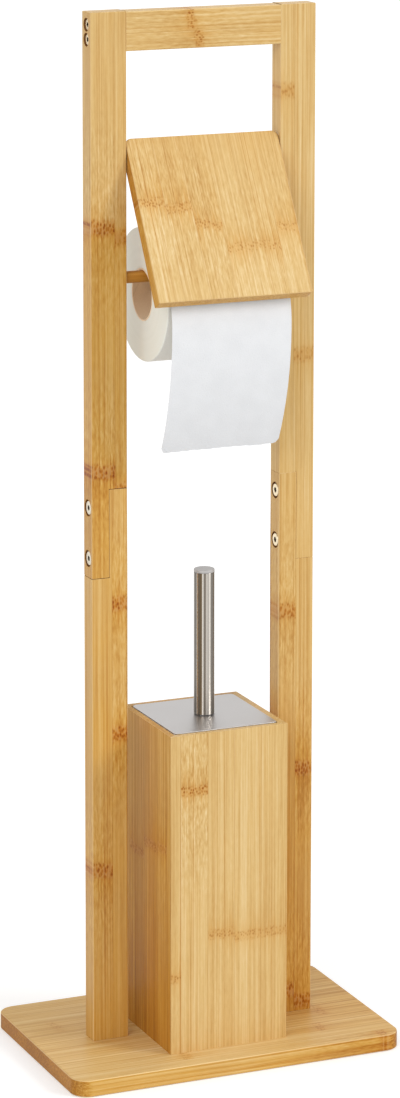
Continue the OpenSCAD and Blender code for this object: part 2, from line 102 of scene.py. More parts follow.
def calc(operation, first, second=0.0, third=0.0, clamp=False):
    values = {0: first, 1: second, 2: third}
    return addNode("ShaderNodeMath", values, operation=operation, use_clamp=clamp).outputs[0]


def times(first, second, clamp=False):
    return calc("MULTIPLY", first, second, clamp=clamp)


def timesPlus(first, second, third):
    return calc("MULTIPLY_ADD", first, second, third)


def minus(first, second):
    return calc("SUBTRACT", first, second)


def absolute(value):
    return calc("ABSOLUTE", value)


def blendColour(factor, first, second, blend="MIX"):
    inputs = {0: factor, 6: first, 7: second}
    return addNode("ShaderNodeMix", inputs, data_type="RGBA", blend_type=blend).outputs[2]


def seenRays():
    path = addNode("ShaderNodeLightPath").outputs
    mirrored = calc("MAXIMUM", path["Is Glossy Ray"], path["Is Transmission Ray"])
    return calc("MAXIMUM", path["Is Camera Ray"], mirrored)


def startFinish(name):
    finish = bpy.data.materials.new(name)
    finish.use_nodes = True
    useTree(finish.node_tree)
    return finish


def setStudio():
    world = bpy.data.worlds.new("studioWorld")
    bpy.context.scene.world = world
    world.use_nodes = True
    useTree(world.node_tree)
    strength = timesPlus(seenRays(), 1 - studio["ambient"], studio["ambient"])
    sky = addNode("ShaderNodeBackground", {"Color": (1, 1, 1, 1), "Strength": strength})
    addNode("ShaderNodeOutputWorld", {"Surface": sky.outputs[0]})

    for name, (direction, strength, width) in studio["lamps"].items():
        towards = Vector(direction)
        bpy.ops.object.light_add(type="SUN", location=towards * 3)
        lamp = bpy.context.active_object
        lamp.name = name
        lamp.rotation_euler = towards.to_track_quat("Z", "Y").to_euler()
        lamp.data.energy = strength
        lamp.data.angle = math.radians(width)

    bpy.ops.mesh.primitive_plane_add(size=80, location=(0, 0, -0.0003))
    floor = bpy.context.active_object
    floor.name = "floor"
    finish = startFinish("floorFinish")
    glow = times(seenRays(), studio["floorGlow"])
    matt = addNode("ShaderNodeBsdfDiffuse", {"Color": studio["floorColour"]})
    shine = addNode("ShaderNodeEmission", {"Color": (1, 1, 1, 1), "Strength": glow})
    both = addNode("ShaderNodeAddShader", {0: matt.outputs[0], 1: shine.outputs[0]})
    addNode("ShaderNodeOutputMaterial", {"Surface": both.outputs[0]})
    floor.data.materials.append(finish)
    bpy.context.scene.view_settings.view_transform = "Standard"


setCamera()
setStudio()
print("camera, light and floor are set")


# Modelling steps that several pieces share. Places are given in millimetres.

# what the bolts, screws, pins and their bores share
joinery = {
    "y": -3.25,  # the middle of the posts' depth, where the rod lies too
    "rodZ": 625.5,
    "pinY": -5,
    "pinZ": 725.5,
    "footX": 86.6,
    "boxX": 28,
    "boxY": (-40.5, 15.5),
    "screwBore": 2.6,
    "lidTilt": 30.4147,
}


def mm(point):
    return Vector(point) / 1000


def selectNone():
    bpy.ops.object.select_all(action="DESELECT")


def only(piece):
    selectNone()
    piece.select_set(True)
    bpy.context.view_layer.objects.active = piece


def named(piece, name):
    piece.name = name
    piece.data.name = name
    return piece


def settle(piece):
    # the place goes into the mesh, and the object stays at the origin
    only(piece)
    bpy.ops.object.transform_apply(location=True, rotation=True, scale=True)


def addBlock(name, low, high):
    low, high = mm(low), mm(high)
    selectNone()
    bpy.ops.mesh.primitive_cube_add(size=1, location=(low + high) / 2)
    block = named(bpy.context.active_object, name)
    block.scale = high - low
    settle(block)
    return block


def addRound(name, radius, start, end, sides=48):
    start, end = mm(start), mm(end)
    run = end - start
    turn = run.to_track_quat("Z", "Y").to_euler()
    selectNone()
    bpy.ops.mesh.primitive_cylinder_add(vertices=sides, radius=radius / 1000, depth=run.length,
                                        location=(start + end) / 2, rotation=turn)
    piece = named(bpy.context.active_object, name)
    settle(piece)
    return piece


def pick(piece, kind, test):
    # selects the faces or edges that pass a test, in edit mode
    only(piece)
    bpy.ops.object.mode_set(mode="EDIT")
    bpy.ops.mesh.select_mode(type=kind)
    bpy.ops.mesh.select_all(action="DESELECT")
    mesh = bmesh.from_edit_mesh(piece.data)
    for part in (mesh.faces if kind == "FACE" else mesh.edges):
        if test(part):
            part.select_set(True)
    mesh.select_flush_mode()
    bmesh.update_edit_mesh(piece.data)


def done():
    bpy.ops.object.mode_set(mode="OBJECT")


def ends(edge):
    return edge.verts[0].co * 1000, edge.verts[1].co * 1000


def isSharp(edge, least=30):
    return len(edge.link_faces) == 2 and edge.calc_face_angle() > math.radians(least)


def onPlane(edge, axis, place):
    first, second = ends(edge)
    return abs(first[axis] - place) < 0.01 and abs(second[axis] - place) < 0.01


def runsAlong(edge, axis):
    first, second = ends(edge)
    way = (second - first).normalized()
    return abs(way[axis]) > 0.99


def bevelWhere(piece, width, test, segments=3):
    pick(piece, "EDGE", test)
    bpy.ops.mesh.bevel(offset=width / 1000, segments=segments, profile=0.5, affect="EDGES",
                       clamp_overlap=False)
    done()


def bevelAt(piece, width, axis, places, segments=3, least=30):
    # the sharp edges that lie at some places along an axis
    def isThere(edge):
        return isSharp(edge, least) and any(onPlane(edge, axis, place) for place in places)

    bevelWhere(piece, width, isThere, segments)


def insetBy(width):
    bpy.ops.mesh.inset(thickness=width / 1000, depth=0)


def drawOut(height):
    bpy.ops.mesh.extrude_region_move(TRANSFORM_OT_translate={"value": (0, 0, height / 1000)})


def cutOut(piece, cutter):
    only(piece)
    hole = piece.modifiers.new("hole", "BOOLEAN")
    hole.operation = "DIFFERENCE"
    hole.solver = "EXACT"
    hole.object = cutter
    bpy.ops.object.modifier_apply(modifier="hole")
    bpy.data.objects.remove(cutter, do_unlink=True)


def drill(piece, radius, start, end, sides=48):
    cutOut(piece, addRound("drill", radius, start, end, sides))


def drillAcross(piece, radius, start, end, height, sides=48, y=joinery["y"]):
    drill(piece, radius, (start, y, height), (end, y, height), sides)


def easeRim(piece, radius, x, height):
    # the rim of a bore that opens at a place across the stand
    centre = Vector((x, joinery["y"], height))

    def isRim(edge):
        aways = [corner - centre for corner in ends(edge)]
        return all(abs(away.x) <= 0.01 and abs(away.yz.length - radius) <= 0.03 for away in aways)

    bevelWhere(piece, 0.3, isRim, 2)


def smooth(piece, angle=32):
    only(piece)
    bpy.ops.object.shade_smooth_by_angle(angle=math.radians(angle))
    even = piece.modifiers.new("evenNormals", "WEIGHTED_NORMAL")
    even.keep_sharp = True
    bpy.ops.object.modifier_apply(modifier="evenNormals")


def joined(pieces, name):
    selectNone()
    for piece in pieces:
        piece.select_set(True)
    bpy.context.view_layer.objects.active = pieces[0]
    bpy.ops.object.join()
    return named(bpy.context.active_object, name)


def scatter(model, name, places):
    # one finished model, copied to each place and joined to one piece
    copies = []
    for place in places:
        copy = model.copy()
        copy.data = model.data.copy()
        copy.matrix_world = place
        bpy.context.collection.objects.link(copy)
        copies.append(copy)
    bpy.data.objects.remove(model, do_unlink=True)
    bpy.context.view_layer.update()
    piece = joined(copies, name)
    settle(piece)
    return piece


def finishPiece(piece, node, body, slot, *looks):
    for look in looks:
        piece.data.materials.append(look)
    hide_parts(node)
    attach(piece, body)


def facing(point, direction):
    # a place that turns +Z of a model towards a direction
    turn = Vector(direction).to_track_quat("Z", "Y").to_matrix().to_4x4()
    return Matrix.Translation(mm(point)) @ turn


# Finishes


def addShader(inputs, height=None, strength=0.0, depth=0.0):
    if height is not None:
        bump = addNode("ShaderNodeBump", {"Height": height, "Strength": strength, "Distance": depth})
        inputs["Normal"] = bump.outputs[0]
    shader = addNode("ShaderNodeBsdfPrincipled", inputs)
    addNode("ShaderNodeOutputMaterial", {"Surface": shader.outputs[0]})


def objectPlace(scale=None, shift=(0, 0, 0)):
    place = addNode("ShaderNodeTexCoord").outputs["Object"]
    if scale is None:
        return place
    return addNode("ShaderNodeMapping", {"Vector": place, "Location": shift, "Scale": scale}).outputs[0]


def turnedTo(way):
    # 1 on faces square to a direction, 0 on faces that run along it
    normal = addNode("ShaderNodeTexCoord").outputs["Normal"]
    share = addNode("ShaderNodeVectorMath", {0: normal, 1: way}, operation="DOT_PRODUCT")
    return absolute(share.outputs["Value"])


def noiseOf(vector, scale=1.0, detail=2.0, roughness=0.5):
    values = {"Vector": vector, "Scale": scale, "Detail": detail, "Roughness": roughness}
    return addNode("ShaderNodeTexNoise", values).outputs["Fac"]


def cellsOf(vector, scale, randomness=1.0):
    values = {"Vector": vector, "Scale": scale, "Randomness": randomness}
    return addNode("ShaderNodeTexVoronoi", values).outputs["Distance"]


def rescale(value, fromLow, fromHigh, toLow=0.0, toHigh=1.0):
    values = {"Value": value, "From Min": fromLow, "From Max": fromHigh, "To Min": toLow, "To Max": toHigh}
    return addNode("ShaderNodeMapRange", values, interpolation_type="SMOOTHSTEP").outputs[0]


def joinXyz(x, y, z):
    return addNode("ShaderNodeCombineXYZ", {0: x, 1: y, 2: z}).outputs[0]


def splitXyz(vector):
    return addNode("ShaderNodeSeparateXYZ", {0: vector}).outputs


def grey(value):
    return (value, value, value, 1)


def rampOf(value, stops, interpolation="LINEAR"):
    node = addNode("ShaderNodeValToRGB", {"Fac": value})
    ramp = node.color_ramp
    ramp.interpolation = interpolation
    while len(ramp.elements) > 1:
        ramp.elements.remove(ramp.elements[-1])
    for index, (place, colour) in enumerate(stops):
        element = ramp.elements[0] if index == 0 else ramp.elements.new(place)
        element.position = place
        element.color = colour
    return node.outputs


def boardPlace(board):
    # millimetres across, along and through the board, and how far each face is turned to these ways
    across = Vector(board["across"])
    along = Vector(board["along"])
    rows = Matrix((across, along, across.cross(along)))
    mapping = addNode("ShaderNodeMapping", {
        "Vector": objectPlace(),
        "Location": -(rows @ Vector(board["corner"])),
        "Rotation": rows.to_euler("XYZ"),
        "Scale": (1000, 1000, 1000),
    })
    return (*splitXyz(mapping.outputs[0]), [turnedTo(way) for way in rows])


bamboo = {
    "pale": [
        (0.0, (0.360, 0.170, 0.040, 1)),
        (0.35, (0.550, 0.315, 0.095, 1)),
        (0.6, (0.690, 0.465, 0.185, 1)),
        (1.0, (0.860, 0.690, 0.400, 1)),
    ],
    "honey": [
        (0.0, (0.300, 0.110, 0.012, 1)),
        (0.35, (0.490, 0.215, 0.028, 1)),
        (0.6, (0.620, 0.335, 0.068, 1)),
        (1.0, (0.780, 0.530, 0.190, 1)),
    ],
    "nodeHalo": (0.88, 0.68, 0.38, 1),
    "nodeBand": (0.86, 0.69, 0.42, 1),
    "fleck": (0.58, 0.35, 0.13, 1),
    "fleckLight": (0.820, 0.600, 0.270, 1),
    "edgeWearAndHighlight": (0.86, 0.66, 0.36, 1),
    "darkLine": (0.80, 0.62, 0.40, 1),
    "glueLine": (0.72, 0.56, 0.38, 1),
    "endGrain": (0.66, 0.50, 0.30, 1),
    "layer": 5.5,
    "roughness": 0.42,
    "coatRoughness": 0.25,
    # what a board has where its own settings say nothing else
    "board": {
        "seed": 0, "nodeHalf": 4, "contrast": 1, "figure": 1, "tones": [(0, 0.5)], "sideTone": 0,
        "endTone": 0, "warmth": [(0, 0.2)], "edgeWarmth": 0, "bandTone": 0.55, "fleckTone": 1,
        "specular": 0.18, "coat": 0.05,
    },
}


def stripTable(board, across):
    # each glued strip has its own tone, places of growth nodes, and strength of their marks
    width, length = board["width"], board["length"]
    pastEnd = [5.0, 5.0]
    stops = []
    lines = [(0.0, grey(0))]
    for index, (edge, tone, strength, *marks) in enumerate(board["strips"]):
        marks = [place / length for place in marks] + pastEnd
        stops.append((edge / width, (tone, marks[0], marks[1], strength)))
        if index > 0:
            for shift, value in ((-0.4, 0), (0, 1), (0.4, 0)):
                lines.append(((edge + shift) / width, grey(value)))
    acrossShare = calc("DIVIDE", across, width)
    strip = rampOf(acrossShare, stops, "CONSTANT")
    facts = addNode("ShaderNodeSeparateColor", {0: strip["Color"]}).outputs
    return facts[0], facts[1], facts[2], strip["Alpha"], rampOf(acrossShare, lines)["Color"]


def bambooFinish(name, board):
    finish = startFinish(name)
    board = {**bamboo["board"], **board}
    across, along, through, (sideOn, endOn, flatOn) = boardPlace(board)
    tone, markA, markB, strength, glue = stripTable(board, across)
    length, nodeHalf = board["length"], board["nodeHalf"]
    alongShare = calc("DIVIDE", along, length)
    layerCount = calc("FLOOR", calc("DIVIDE", through, bamboo["layer"]))
    seed = calc("ADD", timesPlus(tone, 91.3, times(markA, 47.1)), board["seed"])
    depth = timesPlus(seed, 3.7, through)

    def grain(source, acrossScale, alongScale, detail=2):
        vector = joinXyz(times(source, acrossScale), times(along, alongScale), times(depth, acrossScale))
        return minus(noiseOf(vector, 1, detail, 0.6), 0.5)

    def slowChange(key):
        stops = [(place / length, grey(value)) for place, value in board[key]]
        return rampOf(alongShare, stops)["Color"]

    # distance from the nearer growth node, along the grain
    toA = times(minus(alongShare, markA), length)
    toB = times(minus(alongShare, markB), length)
    nearA = calc("LESS_THAN", absolute(toA), absolute(toB))
    away = addNode("ShaderNodeMix", {0: nearA, 2: toB, 3: toA}).outputs[0]
    bow = noiseOf(joinXyz(times(across, 0.07), alongShare, seed), 1, 2)
    away = timesPlus(minus(bow, 0.5), 7, away)
    distance = absolute(away)
    core = times(rescale(distance, nodeHalf * 0.6, nodeHalf * 1.4, 1, 0), strength)
    halo = times(rescale(distance, 2, 40, 1, 0), strength)
    above = times(rescale(away, -6, 6, 1, -1), rescale(distance, 2, 65, 1, 0))

    # long straight fibres, short ones where the strip shows its face, waver near a node
    waver = grain(across, 0.16, 0.045)
    fibreAcross = timesPlus(waver, timesPlus(halo, 2.4, 0.35), across)
    lines = grain(fibreAcross, 0.50, 0.0026)
    fine = grain(fibreAcross, 1.05, 0.012)
    dashes = grain(fibreAcross, 0.72, 0.13)
    patches = grain(across, 0.045, 0.014)
    face = times(rescale(strength, 0.5, 1.0), rescale(distance, 14, 110, 1, 0))
    face = timesPlus(face, 0.72, 0.14)
    layerTone = addNode("ShaderNodeTexWhiteNoise", {"W": calc("ADD", layerCount, seed)},
                        noise_dimensions="1D").outputs["Value"]

    value = tone
    for part, share in (
        (lines, 0.62 * board["contrast"]),
        (fine, 0.50 * board["contrast"]),
        (times(dashes, face), board["figure"]),
        (patches, 0.28),
        (minus(layerTone, 0.5), 0.05),
        (times(above, strength), -0.045),
        (minus(slowChange("tones"), 0.5), 1),  # 0.5 leaves the tone as it is
        (sideOn, board["sideTone"]),
        (endOn, board["endTone"]),
    ):
        value = timesPlus(part, share, value)
    warmth = timesPlus(halo, 0.25, timesPlus(patches, 0.9, slowChange("warmth")))
    edgeWarmth = times(calc("MAXIMUM", sideOn, endOn), board["edgeWarmth"])
    warmth = calc("ADD", warmth, edgeWarmth, clamp=True)
    pale, honey = [rampOf(value, bamboo[key])["Color"] for key in ("pale", "honey")]
    colour = blendColour(warmth, pale, honey)

    def shaded(factor, tint):
        return blendColour(factor, colour, blendColour(1.0, colour, bamboo[tint], "MULTIPLY"))

    # round a node the fibres are stained in pointed streaks, and the node itself is a band of flecks
    reach = calc("MAXIMUM", timesPlus(grain(across, 0.55, 0.004), 95, 12), 5)
    flame = times(rescale(distance, 1, reach, 1, 0), timesPlus(dashes, 1.6, 0.62), clamp=True)
    colour = shaded(times(flame, strength), "nodeHalo")
    cellAcross = timesPlus(dashes, 0.6, times(across, 0.66 - 0.025 * nodeHalf))
    cellAlong = timesPlus(fine, 0.6, times(along, 1.6 / nodeHalf))
    cells = cellsOf(joinXyz(cellAcross, cellAlong, seed), 1.0, 0.95)
    uneven = rescale(grain(across, 0.21, 0.21), -0.13, 0.06, 0.35, 1)
    darkFleck = times(rescale(cells, 0.46, 0.20), times(core, uneven))
    lightFleck = times(rescale(cells, 0.46, 0.66), core)
    colour = shaded(times(core, board["bandTone"]), "nodeBand")
    colour = shaded(times(darkFleck, board["fleckTone"]), "fleck")
    colour = blendColour(times(lightFleck, 0.22), colour, bamboo["fleckLight"])
    darkLines = rescale(grain(across, 0.85, 0.0016, 1), 0.11, 0.19)
    colour = shaded(times(darkLines, 0.6), "darkLine")
    colour = shaded(times(glue, 0.5), "glueLine")

    # cut ends show the bundles of fibres as small dots, and eased edges are a little lighter: partly paler
    # worn wood, partly a painted highlight
    bundles = cellsOf(joinXyz(across, times(along, 0.05), through), 1.3)
    dots = times(rescale(bundles, 0.42, 0.16), rescale(endOn, 0.55, 0.8))
    colour = shaded(times(dots, 0.7), "endGrain")
    edge = times(rescale(flatOn, 0.15, 0.45), rescale(flatOn, 0.96, 0.84))
    colour = blendColour(times(edge, 0.5), colour, bamboo["edgeWearAndHighlight"])
    height = timesPlus(glue, -0.9, calc("ADD", fine, dashes))
    addShader({
        "Base Color": colour,
        "Roughness": timesPlus(fine, 0.22, bamboo["roughness"]),
        "Specular IOR Level": board["specular"],
        "Coat Weight": board["coat"],
        "Coat Roughness": bamboo["coatRoughness"],
    }, timesPlus(darkFleck, -0.5, height), 0.35, 0.00022)
    return finish


steel = {
    # set dark for the handle: painted dark reflections of the surroundings; each piece scales it by its own
    # factor
    "colour": (0.36, 0.348, 0.342),
    "dark": (0.325, 0.313, 0.306),
    "roughness": 0.27,
    "anisotropy": 0.92,
    # degrees round the handle: where the table of painted reflections starts, and after which it repeats
    "paintedReflectionStart": 70,
    "paintedReflectionTurn": 120,
}


def steelFinish(name, stretch, paintedLightScale=1.0, streaks=None, contrast=1.0, extraRough=0.0):
    # brushed: the scratches run where the stretch is small
    finish = startFinish(name)
    lines = noiseOf(objectPlace([1000 * part for part in stretch]), 1, 5, 0.7)
    wear = noiseOf(objectPlace(), 55, 2)
    # the factor makes lighter and darker copies of the one steel: painted light and painted shade
    light, dark = [[paintedLightScale * part for part in steel[key]] + [1] for key in ("colour", "dark")]
    colour = blendColour(times(rescale(lines, 0.3, 0.7), contrast), dark, light)
    look = {"Metallic": 1.0}
    if streaks:
        # painted reflections: tones that change with the angle round the axis, with bright bands as painted
        # highlights and dark, warmer bands as painted reflections of the bamboo and the dark room
        start, turn = steel["paintedReflectionStart"], steel["paintedReflectionTurn"]
        x, y, z = splitXyz(objectPlace((1, 1, 1), (0, -brush["y"] / 1000, 0)))
        angle = calc("ARCTAN2", x, times(y, -1))
        turnShare = calc("FRACT", timesPlus(angle, 360 / turn / math.tau, start / turn))
        places = []
        for place, tint, warm in streaks:
            tinted = (tint, tint * (0.96 - 0.23 * warm), tint * (0.88 - 0.46 * warm), 1)
            places.append(((place + start) / turn, tinted))
        tints = rampOf(turnShare, places, "EASE")["Color"]
        colour = blendColour(1.0, colour, tints, "MULTIPLY")
        look["Anisotropic"] = steel["anisotropy"]
        look["Anisotropic Rotation"] = 0.25
    rough = timesPlus(lines, 0.14 * contrast, steel["roughness"] - 0.07 * contrast + extraRough)
    look["Roughness"] = timesPlus(minus(wear, 0.5), 0.10 * contrast, rough)
    look["Base Color"] = colour
    addShader(look, lines, 0.12 * contrast, 0.00006)
    return finish


castFinishes = {
    # light and dark colour, roughness, metal
    "zincPlated": ((0.74, 0.68, 0.56), (0.62, 0.56, 0.44), 0.34, 1.0),
    "zincYellow": ((0.80, 0.68, 0.48), (0.68, 0.55, 0.36), 0.40, 1.0),
    "zincCream": ((0.90, 0.77, 0.55), (0.80, 0.67, 0.45), 0.34, 1.0),
    # painted shade for the walls of the sunk bores and the seams of the left post
    "paintedShadeCuts": ((0.27, 0.105, 0.014), (0.17, 0.062, 0.008), 0.8, 0.0),
    "socketShade": ((0.060, 0.036, 0.018), (0.035, 0.020, 0.010), 0.6, 0.3),
    "brassTurned": ((0.62, 0.46, 0.20), (0.50, 0.36, 0.15), 0.36, 1.0),
    "plasticMoulded": ((0.84, 0.84, 0.82), (0.79, 0.79, 0.77), 0.42, 0.0),
    "steelCap": ((0.47, 0.455, 0.445), (0.43, 0.415, 0.405), 0.55, 1.0),
}


def castFinish(name, light, dark, roughness, metallic):
    # plated or moulded surfaces: a fine even grain and a slow change of tone
    finish = startFinish(name)
    grains = noiseOf(objectPlace(), 900, 3, 0.6)
    slow = noiseOf(objectPlace(), 70, 2)
    mixed = timesPlus(grains, 0.4, times(slow, 0.6))
    colour = blendColour(rescale(mixed, 0.35, 0.65), (*dark, 1), (*light, 1))
    rough = timesPlus(minus(slow, 0.5), 0.16, roughness)
    addShader({"Base Color": colour, "Roughness": rough, "Metallic": metallic}, grains, 0.15, 0.00005)
    return finish


finishes = {name: castFinish(name, *facts) for name, facts in castFinishes.items()}
print("finishes are ready")


# Base plate

base = {
    "low": (-140, -89.5, 0),
    "high": (140, 89.5, 13.5),
    "corner": 14,
    "ease": 1.1,
    # radius of each bore from below, and the height that it reaches
    "footBores": [(6.6, 3.2), (3.1, 15)],
    "boxBores": [(4.1, 2.2), (2.1, 15)],
    "board": {
        "corner": (-140, 89.5, 0), "across": (0, -1, 0), "along": (1, 0, 0), "width": 179, "length": 280,
        # the front strips, from 132 mm across, are lighter: partly their own tone, partly painted light where
        # the lamps fall on the front of the base
        "strips": [
            (0, 0.55, 0.5, 96), (25, 0.53, 0.4, 214), (48, 0.57, 0.3, 30), (72, 0.53, 0.3, 150),
            (96, 0.53, 0.4, 240), (118, 0.60, 0.5), (132, 0.63, 0.45, 224), (150, 0.64, 0.5, 100),
            (166, 0.64, 0.8, 264),
        ],
        "warmth": [(0, 0.48), (140, 0.2), (280, 0.4)],
        "tones": [(0, 0.61), (140, 0.60), (200, 0.50), (280, 0.42)],
        "sideTone": -0.08, "endTone": -0.47, "edgeWarmth": 0.6, "contrast": 1.45,
        "specular": 0.12, "coat": 0.03,
        "seed": 3,
    },
}


def makeBase():
    plate = addBlock("basePlate", base["low"], base["high"])
    bevelWhere(plate, base["corner"], lambda edge: runsAlong(edge, 2), 12)
    bevelAt(plate, base["ease"], 2, (0, base["high"][2]))

    def boreUp(x, y, bores):
        for radius, height in bores:
            drill(plate, radius, (x, y, -1), (x, y, height))

    for side in (-1, 1):
        boreUp(side * joinery["footX"], joinery["y"], base["footBores"])
        for y in joinery["boxY"]:
            boreUp(side * joinery["boxX"], y, base["boxBores"])
    smooth(plate)
    finishPiece(plate, "base_plate", "frame", "bamboo", bambooFinish("bambooBase", base["board"]))


makeBase()
print("base plate is made")


# Posts: each is two bars that meet in a half lap

post = {
    "inner": 65,
    "outer": 95,
    "front": -11.5,
    "back": 5,
    "foot": 13.5,
    "top": 833.5,
    "shoulder": 390,
    "lapTop": 460.5,
    "ease": 0.9,
    "innerEase": 0.5,
    "seamEase": 0.7,
    "seamEaseRight": 0.4,
    "boltHeights": (445.45, 405.05),
    "screwHeights": (823.55, 812.05),
    # radius and depth of the bores in the sides
    "boltBores": [(6.6, 2.2), (4.4, 17)],
    "screwSink": (5.3, 3.2),
    "rodSeat": 4.83,
    "seatDepth": {"left": 8, "right": 18},
    "pinHole": (2.58, 10.5),
    # how deep the bores' walls are shaded, and how far round the bolts and screws
    "shadedDepth": (0.36, 3.3),
    "shadedReach": (6.8, 5.45),
    "boards": {
        "leftLower": [(0, 0.56, 0.9, 153), (17, 0.54, 1.0, 368, 263)],
        "leftUpper": [(0, 0.52, 1.0, 474, 667), (20, 0.51, 0.8, 658, 459)],
        "rightLower": [(0, 0.52, 0.9, 348, 32), (15, 0.54, 0.9, 217, 22)],
        "rightUpper": [(0, 0.57, 0.5, 765), (12, 0.55, 0.5, 555)],
    },
    # rightLower is warmer and darker below about 280: painted shade deepening the box's shadow on it;
    # leftUpper is lighter from 482 to 668: partly the tone between two nodes, partly painted light lifting
    # the lid's shadow
    "warmth": {
        "leftLower": [(0, 0.9), (200, 0.8), (380, 0.7)],
        "leftUpper": [(380, 0.9), (660, 1.0), (668, 0.2), (833, 0.06)],
        "rightLower": [(0, 0.9), (210, 0.8), (290, 0.35), (460, 0.3)],
        "rightUpper": [(390, 0.25), (560, 0.22), (700, 0.0), (833, 0.0)],
    },
    "tones": {
        "leftLower": [(0, 0.51), (220, 0.52), (240, 0.54), (460, 0.53)],
        "leftUpper": [(0, 0.5), (470, 0.51), (482, 0.56), (560, 0.61), (650, 0.63), (668, 0.54), (833, 0.54)],
        "rightLower": [(0, 0.42), (210, 0.44), (280, 0.53), (460, 0.55)],
        "rightUpper": [(0, 0.54), (833, 0.545)],
    },
}


def shadeCuts(bar, outside, upper):
    # painted shade: the walls of the sunk bores and the wider seams of the left post get a dark brown finish
    (nearest, deepest), (boltReach, screwReach) = post["shadedDepth"], post["shadedReach"]
    spots = [(height, boltReach) for height in post["boltHeights"]]
    if upper:
        spots += [(height, screwReach) for height in post["screwHeights"]]
    for face in bar.data.polygons:
        place = face.center * 1000
        atSeam = min(abs(place.z - post["shoulder"]), abs(place.z - post["lapTop"])) < 0.7
        if atSeam and place.x < 0 and abs(face.normal.z) > 0.6:
            face.material_index = 1
        sunk = nearest < abs(place.x - outside) < deepest
        for height, reach in spots:
            if sunk and math.hypot(place.y - joinery["y"], place.z - height) < reach:
                face.material_index = 1


def makeBar(sideName, side, half):
    name, upper = sideName + "Post" + half, half == "Upper"
    inner, outer, middle = post["inner"], post["outer"], (post["inner"] + post["outer"]) / 2
    shoulder, lapTop = post["shoulder"], post["lapTop"]
    low, high = (lapTop, post["top"]) if upper else (post["foot"], shoulder)
    left, right = sorted((side * inner, side * outer))
    bar = addBlock(name, (left, post["front"], low), (right, post["back"], high))

    # the tongue of the lap: half of the end face, drawn out
    pick(bar, "FACE", lambda face: True)
    bpy.ops.mesh.bisect(plane_co=(side * middle / 1000, 0, 0), plane_no=(1, 0, 0))
    done()
    lapFace = low if upper else high

    def isTongue(face):
        place = face.calc_center_median() * 1000
        outerHalf = abs(place.x) > middle
        return abs(place.z - lapFace) < 0.01 and outerHalf == upper

    pick(bar, "FACE", isTongue)
    drawOut(shoulder - lapTop if upper else lapTop - shoulder)
    bpy.ops.mesh.select_all(action="SELECT")
    bpy.ops.mesh.remove_doubles(threshold=0.00001)
    bpy.ops.mesh.normals_make_consistent(inside=False)
    done()

    def isLong(edge):
        return isSharp(edge) and runsAlong(edge, 2) and not onPlane(edge, 0, side * middle)

    def isSeam(edge):
        if not isSharp(edge, 20):
            return False
        if onPlane(edge, 0, side * middle):
            return not onPlane(edge, 2, lapFace)
        return any(onPlane(edge, 2, place) for place in (shoulder, lapTop))

    farEnd = post["top"] if upper else post["foot"]
    bevelWhere(bar, post["innerEase"], lambda edge: isLong(edge) and onPlane(edge, 0, side * inner), 3)
    bevelWhere(bar, post["ease"], isLong, 3)
    bevelWhere(bar, post["seamEase"] if side < 0 else post["seamEaseRight"], isSeam, 2)
    bevelAt(bar, 0.6 if upper else 0.3, 2, [farEnd], 2, 20)

    # bolt heads sink into the outer bar, sleeve nuts into the inner one
    face, inward = (outer, -1) if upper else (inner, 1)
    for height in post["boltHeights"]:
        for radius, depth in post["boltBores"]:
            drillAcross(bar, radius, side * (face - inward), side * (face + depth * inward), height)
        easeRim(bar, post["boltBores"][0][0], side * face, height)
    if upper:
        radius, depth = post["screwSink"]
        for height in post["screwHeights"]:
            drillAcross(bar, radius, side * (outer + 1), side * (outer - depth), height)
            drillAcross(bar, joinery["screwBore"], side * (outer + 1), side * (inner - 1), height, 24)
            easeRim(bar, radius, side * outer, height)
        radius, rodZ = post["rodSeat"], joinery["rodZ"]
        drillAcross(bar, radius, side * (inner - 1), side * (inner + post["seatDepth"][sideName]), rodZ)
        easeRim(bar, radius, side * inner, rodZ)
        radius, depth = post["pinHole"]
        pinY, pinZ = joinery["pinY"], joinery["pinZ"]
        drillAcross(bar, radius, side * (inner - 1), side * (inner + depth), pinZ, 32, pinY)
    smooth(bar)
    shadeCuts(bar, side * face, upper)

    key = sideName + half
    finish = bambooFinish("bamboo" + name[0].upper() + name[1:], {
        "corner": (left, post["front"], 0), "across": (1, 0, 0), "along": (0, 0, 1),
        "width": right - left, "length": post["top"], "strips": post["boards"][key],
        "warmth": post["warmth"][key], "tones": post["tones"][key],
        # the posts' side faces are darker, painted shade, most on the left posts, whose sides are also made
        # less warm as a painted pale sheen
        "sideTone": -0.09 if side < 0 else -0.03, "edgeWarmth": -0.3 if side < 0 else 0,
        "nodeHalf": 6, "bandTone": 0.9, "seed": 11 + 5 * side + (2 if upper else 0),
    })
    finishPiece(bar, sideName + "_post_" + half.lower(), "frame", "bamboo", finish, finishes["paintedShadeCuts"])


for sideName, side in (("left", -1), ("right", 1)):
    for half in ("Lower", "Upper"):
        makeBar(sideName, side, half)
print("posts are made")


# Top rail

rail = {
    "low": (-65, -11.5, 802.5),
    "high": (65, 5, 833.1),
    "ease": 0.9,
    "screwEnd": 37,
    "board": {
        "corner": (-65, -11.5, 833.1), "across": (0, 0, -1), "along": (1, 0, 0), "width": 30.6, "length": 130,
        "strips": [(0, 0.55, 0.8, 54), (17, 0.53, 0.8, 61)],
        "warmth": [(0, 0.05)],
        "tones": [(0, 0.53)],
        "seed": 23,
    },
}


def makeRail():
    piece = addBlock("topRail", rail["low"], rail["high"])
    bevelWhere(piece, rail["ease"], lambda edge: runsAlong(edge, 0), 3)
    end = rail["high"][0]
    bevelAt(piece, 0.15, 0, (-end, end), 2, 20)
    for side in (-1, 1):
        for height in post["screwHeights"]:
            drillAcross(piece, joinery["screwBore"], side * (end + 1), side * rail["screwEnd"], height, 24)
    smooth(piece)
    finishPiece(piece, "top_rail", "frame", "bamboo", bambooFinish("bambooRail", rail["board"]))


makeRail()
print("top rail is made")


